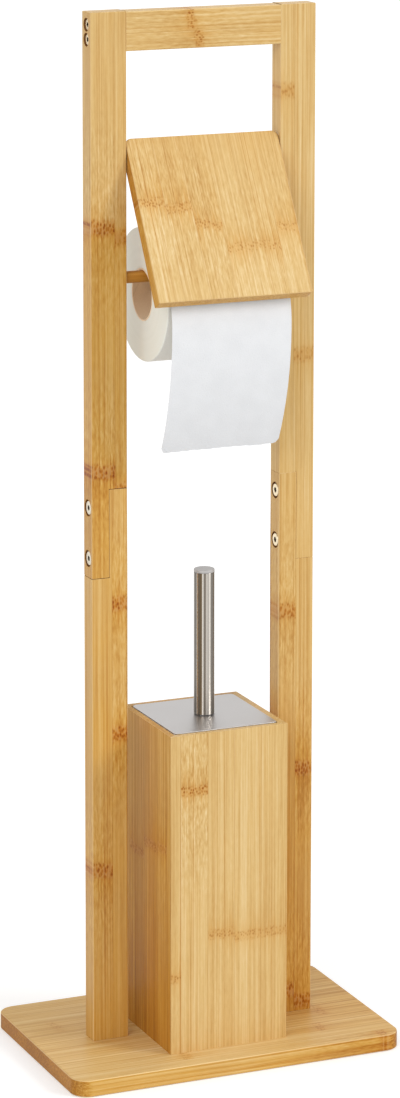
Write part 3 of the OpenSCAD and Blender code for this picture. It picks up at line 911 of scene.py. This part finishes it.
# Fastenings: round heads with a hexagonal socket, a little below the face round them

fastenings = {
    "lapBolts": {"node": "lap_bolts", "head": (5.6, 1.4), "shank": (3, 23.6), "across": 3.9, "sunk": 0.6,
                 "finish": "zincPlated"},
    "lapSleeveNuts": {"node": "lap_sleeve_nuts", "head": (5.15, 1.4), "shank": (4.3, 23.6), "across": 4.1,
                      "sunk": 0.1, "finish": "zincCream"},
    "railScrews": {"node": "rail_screws", "head": (4.4, 1.9), "shank": (2.5, 54.8), "across": 3.4,
                   "sunk": 1.1, "finish": "zincYellow"},
    "footBolts": {"node": "foot_bolts", "head": (5.9, 3), "shank": (3, 22.3), "across": 4.4, "sunk": 0.0,
                  "finish": "zincPlated"},
}


def makeScrew(facts):
    headRadius, headHeight = facts["head"]
    shankRadius, reach = facts["shank"]
    screw = addRound("screw", headRadius, (0, 0, 0), (0, 0, headHeight), 48)
    pick(screw, "FACE", lambda face: face.normal.z > 0.9)
    insetBy(headRadius - shankRadius)
    drawOut(reach)
    done()
    bevelAt(screw, 0.7, 2, [0], 4)
    bevelAt(screw, shankRadius * 0.2, 2, [headHeight + reach], 2)
    drill(screw, facts["across"] / 2 / math.cos(math.pi / 6), (0, 0, -1), (0, 0, headHeight * 0.8), 6)
    bevelWhere(screw, 0.15, lambda edge: onPlane(edge, 2, 0) and max(p.xy.length for p in ends(edge)) < 3, 1)
    smooth(screw)
    screw.data.materials.clear()
    screw.data.materials.append(finishes[facts["finish"]])
    screw.data.materials.append(finishes["socketShade"])
    for face in screw.data.polygons:
        place = face.center * 1000
        if place.xy.length < facts["across"] * 0.56 and 0.2 < place.z < headHeight:
            face.material_index = 1
    return screw


def makeFastenings():
    inset = 0.2  # from each face to the rim of the head
    outer, inner = post["outer"] - inset, post["inner"] + inset
    places = {name: [] for name in fastenings}

    def sideways(x, height, way):
        return facing((x, joinery["y"], height), (way, 0, 0))

    for side in (-1, 1):
        for height in post["boltHeights"]:
            places["lapBolts"].append(sideways(side * outer, height, -side))
            places["lapSleeveNuts"].append(sideways(side * inner, height, side))
        for height in post["screwHeights"]:
            places["railScrews"].append(sideways(side * outer, height, -side))
        places["footBolts"].append(facing((side * joinery["footX"], joinery["y"], inset), (0, 0, 1)))
    for name, facts in fastenings.items():
        turned = []
        for index, place in enumerate(places[name]):
            # each head stands at another angle
            sink = Matrix.Translation((0, 0, facts["sunk"] / 1000))
            turned.append(place @ sink @ Matrix.Rotation(math.radians(17 + 41 * index), 4, "Z"))
        finishPiece(scatter(makeScrew(facts), name, turned), facts["node"], "frame", "zinc")


makeFastenings()
print("fastenings are made")


# Rod, roll and hanging paper

roll = {
    "left": -49,
    "right": 51,
    "axisY": joinery["y"],
    "axisZ": 611.05,
    "radius": 52.5,
    "rim": 1.2,
    "coreOuter": 20.7,
    "coreInner": 19.5,
    "cardPitch": 62,
    "rodRadius": 4.75,
    "rodLeft": -72.5,
    "rodRight": 74,
    "paperLight": (0.90, 0.905, 0.825, 1),
    "paperDark": (0.87, 0.875, 0.79, 1),
    "outsideLight": (0.89, 0.88, 0.82, 1),
    "outsideDark": (0.84, 0.83, 0.77, 1),
    # very light card: painted light that lifts the shade inside the core
    "cardLight": (0.97, 0.78, 0.56, 1),
    "cardDark": (0.90, 0.70, 0.48, 1),
    "cardSeam": (0.62, 0.44, 0.28, 1),
    "rodTones": [
        (0.30, (0.34, 0.130, 0.014, 1)), (0.52, (0.50, 0.220, 0.030, 1)), (0.72, (0.64, 0.33, 0.070, 1)),
    ],
}

paperLook = {"Roughness": 0.92, "Specular IOR Level": 0.2, "Sheen Weight": 0.12}


def rodFinish():
    finish = startFinish("rodWood")
    place = objectPlace((22, 1000, 1000))
    fibres = noiseOf(place, 1.1, 4, 0.6)
    streaks = noiseOf(place, 0.3, 2)
    share = timesPlus(fibres, 0.45, times(streaks, 0.55))
    colour = rampOf(share, roll["rodTones"])["Color"]
    rough = rescale(fibres, 0.3, 0.7, 0.36, 0.52)
    addShader({"Base Color": colour, "Roughness": rough, "Specular IOR Level": 0.2}, fibres, 0.3, 0.0002)
    return finish


def makeRod():
    start, end = roll["rodLeft"], roll["rodRight"]
    rod = addRound("rollRod", roll["rodRadius"], (start, roll["axisY"], joinery["rodZ"]),
                   (end, roll["axisY"], joinery["rodZ"]), 64)
    bevelAt(rod, 0.8, 0, (start, end))
    smooth(rod)
    finishPiece(rod, "roll_rod", "rod", "bamboo", rodFinish())


def makeRing(name, inner, outer, innerRim, outerRim):
    # a section of the ring's wall, spun about the roll's axis
    axis = mm((0, roll["axisY"], roll["axisZ"]))
    wide = (roll["right"] - roll["left"]) / 1000
    middle = (roll["left"] + roll["right"]) / 2000
    selectNone()
    bpy.ops.mesh.primitive_plane_add(size=1, rotation=(math.pi / 2, 0, 0),
                                     location=(middle, axis.y, axis.z + (inner + outer) / 2000))
    ring = named(bpy.context.active_object, name)
    ring.scale = (wide, (outer - inner) / 1000, 1)
    settle(ring)
    for place, rim in ((inner, innerRim), (outer, outerRim)):
        only(ring)
        bpy.ops.object.mode_set(mode="EDIT")
        bpy.ops.mesh.select_mode(type="VERT")
        bpy.ops.mesh.select_all(action="DESELECT")
        mesh = bmesh.from_edit_mesh(ring.data)
        for corner in mesh.verts:
            corner.select_set(abs((corner.co.z - axis.z) * 1000 - place) < 0.01)
        bmesh.update_edit_mesh(ring.data)
        bpy.ops.mesh.bevel(offset=rim / 1000, segments=6, affect="VERTICES", clamp_overlap=False)
        done()
    pick(ring, "FACE", lambda face: True)
    bpy.ops.mesh.delete(type="ONLY_FACE")
    bpy.ops.mesh.select_all(action="SELECT")
    bpy.ops.mesh.spin(steps=144, angle=2 * math.pi, center=axis, axis=(1, 0, 0), dupli=False)
    bpy.ops.mesh.select_all(action="SELECT")
    bpy.ops.mesh.remove_doubles(threshold=0.00002)
    bpy.ops.mesh.normals_make_consistent(inside=False)
    done()
    smooth(ring, 50)
    return ring


def rollPlace():
    # millimetres from the roll's axis
    return objectPlace((1000, 1000, 1000), (0, -roll["axisY"], -roll["axisZ"]))


def windingFinish():
    # fine turns of paper on the ends, soft tissue round the outside
    finish = startFinish("paperWound")
    place = rollPlace()
    x, y, z = splitXyz(place)
    flat = joinXyz(0, y, z)
    sway = noiseOf(flat, 0.035, 2)
    radius = addNode("ShaderNodeVectorMath", {0: flat}, operation="LENGTH").outputs["Value"]
    radius = timesPlus(minus(sway, 0.5), 3.5, radius)
    turns = noiseOf(joinXyz(radius, 0, 0), 2.1, 3, 0.7)
    bands = noiseOf(joinXyz(radius, 4, 0), 0.22, 2)
    fluff = noiseOf(place, 0.9, 4, 0.65)
    endOn = rescale(turnedTo((1, 0, 0)), 0.1, 0.95)
    share = timesPlus(turns, 0.45, times(bands, 0.55))
    endTone = blendColour(rescale(share, 0.32, 0.62), roll["paperDark"], roll["paperLight"])
    outside = blendColour(rescale(fluff, 0.3, 0.7), roll["outsideDark"], roll["outsideLight"])
    height = addNode("ShaderNodeMix", {0: endOn, 2: fluff, 3: turns}).outputs[0]
    addShader({"Base Color": blendColour(endOn, outside, endTone), **paperLook}, height, 0.25, 0.0003)
    return finish


def cardFinish():
    # card strips wound in a slow screw, with their butt joints
    finish = startFinish("cardWound")
    place = rollPlace()
    x, y, z = splitXyz(place)
    pitch = roll["cardPitch"]
    screw = timesPlus(calc("ARCTAN2", y, z), pitch / math.tau, x)
    joint = absolute(minus(calc("FLOORED_MODULO", screw, pitch), pitch / 2))
    seam = rescale(joint, 0.2, 1.0, 1, 0)
    fibres = noiseOf(place, 1.3, 4, 0.7)
    colour = blendColour(rescale(fibres, 0.3, 0.7), roll["cardDark"], roll["cardLight"])
    colour = blendColour(times(seam, 0.2), colour, roll["cardSeam"])
    addShader({"Base Color": colour, "Roughness": 0.88}, timesPlus(seam, -0.8, fibres), 0.4, 0.0003)
    return finish


def makeRoll():
    winding = makeRing("paperWinding", roll["coreOuter"], roll["radius"], 0.6, roll["rim"])
    finishPiece(winding, "paper_winding", "roll", "paper", windingFinish())
    core = makeRing("rollCore", roll["coreInner"], roll["coreOuter"], 0.3, 0.3)
    finishPiece(core, "roll_core", "roll", "card", cardFinish())


tail = {
    "thick": 0.3,
    "left": -49,
    "right": 51,
    "rows": 110,
    "columns": 50,
    # centre in Y and Z, radius, first and last heading in degrees
    "overRoll": ((roll["axisY"], roll["axisZ"]), 53.1, 58.4147, joinery["lidTilt"]),
    "straight": 9.975,
    "downBend": ((7.934, 592.917), 71.925, joinery["lidTilt"], 0),
    "curl": ((154.009, 592.917), 218.0, 0, -27.6),
    "cornerRadius": 4.0,
    "tornBack": 0.55,
    "looseFrom": 55,  # the way along the paper at which it starts to wave
    "looseOver": 110,
    # height, and how fast it changes across the sheet and along it
    "teeth": [(0.35, 9), (0.2, 71)],
    "waves": [(0.45, 8.5, 0.022), (0.22, 17, -0.035), (0.10, 31, 0.06)],
    "colours": [(0.75, 0.76, 0.775, 1), (0.80, 0.81, 0.825, 1)],
}


def tailPath(way):
    # the place in Y and Z, and the direction away from the roll, after a way along the paper
    for key in ("overRoll", "straight", "downBend", "curl"):
        if key == "straight":
            heading = math.radians(joinery["lidTilt"])
            if way <= tail["straight"]:
                (y, z), radius = tail["overRoll"][0], tail["overRoll"][1]
                y += radius * -math.cos(heading) - way * math.sin(heading)
                z += radius * math.sin(heading) - way * math.cos(heading)
                return y, z, heading
            way -= tail["straight"]
            continue
        (y, z), radius, first, last = tail[key]
        reach = radius * math.radians(abs(first - last))
        if way <= reach or key == "curl":
            heading = math.radians(first + (last - first) * way / reach)
            return y - radius * math.cos(heading), z + radius * math.sin(heading), heading
        way -= reach


def tailLength():
    total = tail["straight"]
    for key in ("overRoll", "downBend", "curl"):
        total += tail[key][1] * math.radians(abs(tail[key][2] - tail[key][3]))
    return total


def hangingFinish():
    # soft tissue: small pressed dimples and a faint cloudiness
    finish = startFinish("paperHanging")
    own = addNode("ShaderNodeUVMap", uv_map="UVMap").outputs[0]
    place = addNode("ShaderNodeMapping", {"Vector": own, "Scale": (100, tailLength(), 1)}).outputs[0]
    fluff = noiseOf(place, 0.9, 4, 0.65)
    cloud = noiseOf(place, 0.06, 2)
    share = timesPlus(fluff, 0.5, times(cloud, 0.5))
    colour = blendColour(rescale(share, 0.3, 0.7), *tail["colours"])
    height = timesPlus(fluff, 0.6, rescale(cellsOf(place, 0.62, 0.8), 0.05, 0.5))
    addShader({"Base Color": colour, **paperLook}, height, 0.22, 0.0003)
    return finish


def makeTail():
    selectNone()
    bpy.ops.mesh.primitive_grid_add(x_subdivisions=tail["columns"], y_subdivisions=tail["rows"], size=1)
    sheet = named(bpy.context.active_object, "paperTail")
    total, wide = tailLength(), tail["right"] - tail["left"]
    phases = [random.uniform(0, math.tau) for _ in range(8)]
    for corner in sheet.data.vertices:
        share, way = corner.co.x + 0.5, (0.5 - corner.co.y) * total
        # the torn edge: small teeth, a slow wave and two round corners
        fromSide = min(share, 1 - share) * wide
        radius = tail["cornerRadius"]
        lift = 0
        if fromSide < radius:
            lift = radius - math.sqrt(radius ** 2 - (radius - fromSide) ** 2)
        for (size, across), phase in zip(tail["teeth"], phases):
            lift += size * math.sin(share * across + phase)
        way -= (lift + tail["tornBack"]) * (way / total) ** 12
        y, z, heading = tailPath(way)
        loose = min(max((way - tail["looseFrom"]) / tail["looseOver"], 0), 1)
        loose = loose * loose * (3 - 2 * loose)
        swell = 0
        for (size, across, down), phase in zip(tail["waves"], phases[2:]):
            swell += size * math.sin(share * across + way * down + phase)
        swell *= loose
        y -= math.cos(heading) * swell
        z += math.sin(heading) * swell
        corner.co = mm((tail["left"] + share * wide, y, z))
    only(sheet)
    firm = sheet.modifiers.new("thickness", "SOLIDIFY")
    firm.thickness = tail["thick"] / 1000
    firm.offset = 0
    bpy.ops.object.modifier_apply(modifier="thickness")
    smooth(sheet, 60)
    finishPiece(sheet, "paper_tail", "frame", "paper", hangingFinish())


makeRod()
makeRoll()
makeTail()
print("rod, roll and hanging paper are made")


# Lid

lid = {
    "half": 64.2,
    "thick": 11.5,
    "above": 7,
    "below": 129,
    "corner": 5,
    "ease": 0.9,
    "pinRadius": 2.5,
    "pinLength": 20.8,
    "pinEnd": 75,
    "pinBore": (2.55, 10.2),
    "board": {
        "strips": [
            (0, 0.58, 0.95, 54), (21.5, 0.57, 0.9, 59), (43, 0.59, 0.95, 75), (65, 0.59, 0.8, 95),
            (87, 0.59, 0.8, 95), (110, 0.555, 0.8, 81),
        ],
        "warmth": [(0, 0.27), (50, 0.10), (75, 0.0)],
        "tones": [(0, 0.515), (80, 0.555), (136, 0.58)],
        "sideTone": -0.16, "endTone": -0.04, "edgeWarmth": 1.0,
        "figure": 0.95, "fleckTone": 0.7, "bandTone": 0.1, "seed": 37,
    },
}


def makeLid():
    pinPlace = mm((0, joinery["pinY"], joinery["pinZ"]))
    turn = Matrix.Translation(pinPlace) @ Matrix.Rotation(math.radians(-joinery["lidTilt"]), 4, "X")
    half, face = lid["half"], lid["thick"] / 2
    panel = addBlock("lidPanel", (-half, -face, -lid["below"]), (half, face, lid["above"]))
    bevelWhere(panel, lid["corner"], lambda edge: runsAlong(edge, 1) and onPlane(edge, 2, lid["above"]), 8)
    bevelWhere(panel, lid["ease"], lambda edge: isSharp(edge, 40), 3)
    radius, depth = lid["pinBore"]
    for side in (-1, 1):
        drill(panel, radius, (side * (half + 1), 0, 0), (side * (half - depth), 0, 0), 32)
    smooth(panel)
    panel.matrix_world = turn
    settle(panel)
    slope = turn.to_3x3() @ Vector((0, 0, -1))
    start = turn @ mm((-half, -face, lid["above"])) * 1000
    finish = bambooFinish("bambooLid", {
        "corner": start, "across": (1, 0, 0), "along": slope, "width": 2 * half,
        "length": lid["above"] + lid["below"], **lid["board"],
    })
    finishPiece(panel, "lid_panel", "lid", "bamboo", finish)

    pin = addRound("lidPin", lid["pinRadius"], (0, 0, 0), (0, 0, lid["pinLength"]), 40)
    bevelWhere(pin, 0.4, isSharp, 2)
    smooth(pin)
    places = [facing((side * lid["pinEnd"], joinery["pinY"], joinery["pinZ"]), (-side, 0, 0))
              for side in (-1, 1)]
    finishPiece(scatter(pin, "lidPins", places), "lid_pins", "lid", "zinc", finishes["zincPlated"])


makeLid()
print("lid is made")


# Brush box: four walls with mitred corners, and the liner

box = {
    "half": 50,
    "middle": (0, -12.5),
    "low": 13.5,
    "high": 271.5,
    "wall": 5.5,
    "cornerEase": 0.45,
    "rimEase": 0.5,
    "walls": {
        "boxFront": {"node": "box_front", "turn": 0, "figure": 1.2, "strips": [
            (0, 0.55, 0.6, 196), (8.75, 0.58, 1.0, 46), (32, 0.57, 0.6, 165), (54.5, 0.59, 0.55, 168),
            (77.5, 0.585, 0.55, 168)]},
        "boxRight": {"node": "box_right", "turn": 90, "strips": [
            (0, 0.52, 0.7, 88), (20, 0.56, 0.8, 61), (42, 0.50, 0.8, 202), (66, 0.55, 0.8, 140),
            (88, 0.53, 0.6)]},
        # the back wall's top 9 mm is dark: painted shade for the thin dark line along the back of the rim
        "boxBack": {"node": "box_back", "turn": 180, "strips": [
            (0, 0.54, 0.6, 120), (14, 0.52, 0.9, 224), (37, 0.57, 0.8, 70), (60, 0.53, 0.8, 182),
            (83, 0.55, 0.8, 96)], "tones": [(0, 0.30), (5, 0.34), (9, 0.51)]},
        # the left wall grows darker and warmer towards the bottom: painted shade between the box and the left
        # post
        "boxLeft": {"node": "box_left", "turn": 270, "specular": 0.05, "coat": 0.0, "contrast": 1.4,
                    "warmth": [(0, 0.55), (110, 0.75), (190, 1.0)],
                    "tones": [(0, 0.495), (110, 0.445), (190, 0.395), (258, 0.355)], "strips": [
            (0, 0.50, 0.5), (16, 0.50, 0.6, 110), (46, 0.42, 0.6, 98), (74, 0.46, 0.7, 94),
            (92, 0.50, 0.5)]},
    },
}


def makeWall(name, facts):
    half, wall = box["half"], box["wall"]
    middle = Vector((box["middle"][0], box["middle"][1], 0))
    panel = addBlock(name, (-half, -half, box["low"]), (half, wall - half, box["high"]))
    for side in (-1, 1):
        pick(panel, "FACE", lambda face: True)
        bpy.ops.mesh.bisect(plane_co=(side * half / 1000, -half / 1000, 0), plane_no=(side, 1, 0),
                            use_fill=True, clear_outer=True)
        done()
    bevelWhere(panel, box["cornerEase"],
               lambda edge: runsAlong(edge, 2) and onPlane(edge, 1, -half), 2)
    bevelWhere(panel, box["rimEase"],
               lambda edge: isSharp(edge, 20) and runsAlong(edge, 0) and onPlane(edge, 2, box["high"]), 2)
    turn = Matrix.Translation(middle / 1000) @ Matrix.Rotation(math.radians(facts["turn"]), 4, "Z")
    smooth(panel)
    panel.matrix_world = turn
    settle(panel)
    start = turn @ mm((-half, -half, box["high"])) * 1000
    across = turn.to_3x3() @ Vector((1, 0, 0))
    finish = bambooFinish("bamboo" + name[0].upper() + name[1:], {
        "corner": start, "across": across, "along": (0, 0, -1), "width": 2 * half,
        "length": box["high"] - box["low"], "seed": 50 + facts["turn"] / 9, "warmth": [(0, 0.0)],
        "tones": [(0, 0.51)], **facts,
    })
    finishPiece(panel, facts["node"], "frame", "bamboo", finish)


for wallName, wallFacts in box["walls"].items():
    makeWall(wallName, wallFacts)


liner = {"half": 44, "corner": 4, "wall": 1.6, "low": 23.5, "high": 270.9, "floor": 25.1}


def makeLiner():
    half, middle = liner["half"], box["middle"][1]
    tray = addBlock("boxLiner", (-half, middle - half, liner["low"]), (half, middle + half, liner["high"]))
    bevelWhere(tray, liner["corner"], lambda edge: runsAlong(edge, 2), 6)
    pick(tray, "FACE", lambda face: face.normal.z > 0.9)
    insetBy(liner["wall"])
    drawOut(liner["floor"] - liner["high"])
    done()
    bevelAt(tray, 0.4, 2, [liner["high"]], 2)
    bevelAt(tray, 2.0, 2, [liner["floor"]], 4)
    smooth(tray)
    finishPiece(tray, "box_liner", "frame", "plastic", finishes["plasticMoulded"])


makeLiner()
print("brush box is made")


# Brush: cover plate, handle, stem, hub and tufts

brush = {
    "y": box["middle"][1],
    "plateHalf": 44,
    "plateLow": 270.9,
    "plateHigh": 272.1,
    "handleRadius": 8.25,
    "handleWall": 1,
    "neckRadius": 7.2,
    "neckTop": 289.4,
    "tubeLow": 272.9,
    "capLow": 387.6,
    "capHigh": 390.1,
    "capEase": 0.8,
    "capPlug": 6.6,
    "stemRadius": 4,
    "stemLow": 98.8,
    "stemHigh": 283.6,
    "nutAcross": 13,
    "nutLow": 264.5,
    "hubRadius": 9,
    "hubLow": 49.8,
    "hubHigh": 119.8,
    "sleeveLow": 58.8,
    "sleeveHigh": 114.8,
    "tuftRows": 13,
    "tuftColumns": 24,
    "tuftLength": 27,
    "tuftDown": 76,
    "tuftUp": 18,
    "bristles": 11,
    "tuftRadius": 0.62,
    "tuftLean": 0.115,  # radians, of the outermost bristle
    "rootRadius": 10.3,
    "sleeveRadius": 10.75,
    "bristleDark": (0.76, 0.77, 0.77, 1),
    "bristleLight": (0.88, 0.88, 0.87, 1),
    # degrees round the handle, with the painted reflection's tone and warmth there: tones above 1 are painted
    # highlights, low warm tones are painted reflections of the bamboo and the dark room
    "streaks": [
        (-70, 1.7, 0), (-64, 1.8, 0), (-56, 0.4, 0.5), (-41, 0.36, 1), (-37, 0.45, 0.8), (-32, 1.9, 0),
        (-27, 1.2, 0), (-20, 0.42, 0.5), (-8, 1.7, 0), (-2, 1.25, 0), (4, 1.35, 0), (9, 2.0, 0),
        (18, 0.6, 0.1), (44, 0.5, 0.1),
    ],
}


def onAxis(height):
    return (0, brush["y"], height)


def steelPiece(piece, node, finish):
    smooth(piece)
    finishPiece(piece, node, "brush", "steel", finish)


def makePlate():
    half, middle = brush["plateHalf"], brush["y"]
    low, high = brush["plateLow"], brush["plateHigh"]
    plate = addBlock("coverPlate", (-half, middle - half, low), (half, middle + half, high))
    bevelWhere(plate, liner["corner"], lambda edge: runsAlong(edge, 2), 8)
    bevelWhere(plate, 0.5, isSharp, 4)
    drill(plate, brush["stemRadius"] + 0.1, onAxis(low - 1), onAxis(high + 1))
    # the plate's copy of the steel is 1.64 times lighter than the handle's painted dark steel
    finish = steelFinish("steelPlate", (0.5, 1.6, 1), paintedLightScale=1.64, contrast=0.35, extraRough=0.12)
    steelPiece(plate, "cover_plate", finish)


def makeHandle():
    radius, wall = brush["handleRadius"], brush["handleWall"]
    low, high = brush["tubeLow"], brush["capLow"]
    tube = addRound("handleTube", radius, onAxis(low), onAxis(high), 96)
    pick(tube, "FACE", lambda face: abs(face.normal.z) > 0.9)
    insetBy(wall)
    bpy.ops.mesh.bridge_edge_loops()
    done()
    bevelWhere(tube, 0.3, isSharp, 2)
    steelPiece(tube, "handle_tube", steelFinish("steelTube", (2.6, 2.6, 0.035), streaks=brush["streaks"]))

    top = brush["capHigh"]
    cap = addRound("handleCap", radius, onAxis(high), onAxis(top), 96)
    bevelAt(cap, brush["capEase"], 2, [top], 2)
    bevelAt(cap, 0.35, 2, [high], 2)
    pick(cap, "FACE", lambda face: face.normal.z < -0.9)
    insetBy(wall + 0.05)
    drawOut(-brush["capPlug"])
    done()
    steelPiece(cap, "handle_cap", finishes["steelCap"])

    foot = addRound("handleFoot", brush["neckRadius"], onAxis(brush["plateHigh"]),
                    onAxis(brush["neckTop"]), 64)
    bevelWhere(foot, 0.3, isSharp, 2)
    # the foot's copy of the steel is darkened to 0.6: painted shade
    steelPiece(foot, "handle_foot", steelFinish("steelFoot", (0.4, 0.4, 1.8), paintedLightScale=0.6))

    stem = addRound("brushStem", brush["stemRadius"], onAxis(brush["stemLow"]), onAxis(brush["stemHigh"]), 48)
    bevelWhere(stem, 0.5, isSharp, 2)
    steelPiece(stem, "brush_stem", steelFinish("steelStem", (0.2, 0.2, 1.6)))

    circum = brush["nutAcross"] / 2 / math.cos(math.pi / 6)
    nut = addRound("stemNut", circum, onAxis(brush["nutLow"]), onAxis(brush["plateLow"]), 6)
    bevelWhere(nut, 0.5, lambda edge: isSharp(edge) and not runsAlong(edge, 2), 2)
    bevelWhere(nut, 0.3, lambda edge: isSharp(edge, 40) and runsAlong(edge, 2), 2)
    drill(nut, brush["stemRadius"] + 0.05, onAxis(brush["nutLow"] - 1), onAxis(brush["plateLow"] + 1))
    steelPiece(nut, "stem_nut", steelFinish("steelNut", (0.8, 0.8, 0.8)))


def bristleFinish():
    finish = startFinish("bristleNylon")
    mottle = noiseOf(objectPlace(), 420, 2)
    x, y, z = splitXyz(objectPlace())
    root = noiseOf(joinXyz(0, 0, z), 90, 2)
    share = timesPlus(mottle, 0.7, times(root, 0.3))
    colour = blendColour(rescale(share, 0.3, 0.7), brush["bristleDark"], brush["bristleLight"])
    addShader({"Base Color": colour, "Roughness": rescale(mottle, 0.3, 0.7, 0.32, 0.48)})
    return finish


def makeTufts():
    # one bristle, then one tuft of them, then a tuft in each hole of the hub
    length, down, up = brush["tuftLength"], brush["tuftDown"], brush["tuftUp"]
    selectNone()
    bpy.ops.mesh.primitive_cone_add(vertices=5, radius1=0.00024, radius2=0.00014,
                                    depth=length / 1000, location=(0, 0, length / 2000), end_fill_type="NGON")
    bristle = named(bpy.context.active_object, "bristle")
    settle(bristle)
    pick(bristle, "EDGE", lambda edge: runsAlong(edge, 2))
    bpy.ops.mesh.subdivide(number_cuts=2)
    done()
    places = []
    for index in range(brush["bristles"]):
        angle = index * 2.4
        spread = math.sqrt((index + 0.5) / brush["bristles"])
        lean = Matrix.Rotation(brush["tuftLean"] * spread, 4, (-math.sin(angle), math.cos(angle), 0))
        aside = brush["tuftRadius"] * spread
        root = Matrix.Translation(mm((aside * math.cos(angle), aside * math.sin(angle), -0.6)))
        stretch = Matrix.Diagonal((1, 1, 1 - 0.09 * random.random(), 1))
        places.append(root @ lean @ stretch)
    tuft = scatter(bristle, "tuft", places)

    rows, columns, radius = brush["tuftRows"], brush["tuftColumns"], brush["rootRadius"]
    rowHeight = (brush["sleeveHigh"] - brush["sleeveLow"]) / rows
    places = []
    for row in range(rows):
        share = row / (rows - 1)
        rise = math.radians(up * share - down * (1 - share))
        for column in range(columns):
            angle = math.tau * (column + 0.5 * (row % 2) + 0.5) / columns
            aside = angle + random.uniform(-0.02, 0.02)
            tilt = rise + random.uniform(-0.03, 0.03)
            way = Vector((math.cos(aside) * math.cos(tilt), math.sin(aside) * math.cos(tilt), math.sin(tilt)))
            root = Vector((radius * math.cos(angle), radius * math.sin(angle) + brush["y"],
                           brush["sleeveLow"] + (row + 0.5) * rowHeight))
            turn = Matrix.Rotation(random.uniform(0, math.tau), 4, "Z")
            short = Matrix.Diagonal((1, 1, random.uniform(0.955, 1.0), 1))
            places.append(facing(root, way) @ turn @ short)
    tufts = scatter(tuft, "brushTufts", places)
    only(tufts)
    bpy.ops.object.shade_smooth_by_angle(angle=math.radians(80))
    finishPiece(tufts, "brush_tufts", "brush", "plastic", bristleFinish())


def makeHub():
    low, high, radius = brush["hubLow"], brush["hubHigh"], brush["hubRadius"]
    hub = addRound("brushHub", radius, onAxis(low), onAxis(high), 64)
    bevelAt(hub, radius * 0.96, 2, [low], 10)
    bevelAt(hub, 2.5, 2, [high], 5)
    sleeve = addRound("hubSleeve", brush["sleeveRadius"], onAxis(brush["sleeveLow"]),
                      onAxis(brush["sleeveHigh"]), 64)
    bevelWhere(sleeve, 1.2, isSharp, 4)
    hub = joined([hub, sleeve], "brushHub")
    smooth(hub)
    finishPiece(hub, "brush_hub", "brush", "plastic", finishes["plasticMoulded"])


makePlate()
makeHandle()
makeHub()
makeTufts()
print("brush is made")


# CAD nodes that stay: hidden joinery

hidden = {
    "foot_dowels": {"corner": (-140, -10, 0), "across": (1, 0, 0), "along": (0, 0, 1), "width": 280,
                    "length": 60, "strips": [(0, 0.5, 0)], "seed": 90},
    "box_bottom": {"corner": (-44.5, -57, 13.5), "across": (0, 1, 0), "along": (1, 0, 0), "width": 89,
                   "length": 89, "strips": [(0, 0.5, 0.5, 30), (29, 0.46, 0.5, 61), (58, 0.52, 0.5, 44)],
                   "seed": 95},
}


def dressNode(node, finish):
    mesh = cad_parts[node].data
    mesh.materials.clear()
    mesh.materials.append(finish)


for nodeName, nodeBoard in hidden.items():
    dressNode(nodeName, bambooFinish("bamboo" + nodeName.title().replace("_", ""), nodeBoard))
dressNode("foot_inserts", finishes["brassTurned"])
dressNode("box_screws", finishes["zincPlated"])
print("hidden joinery is dressed")
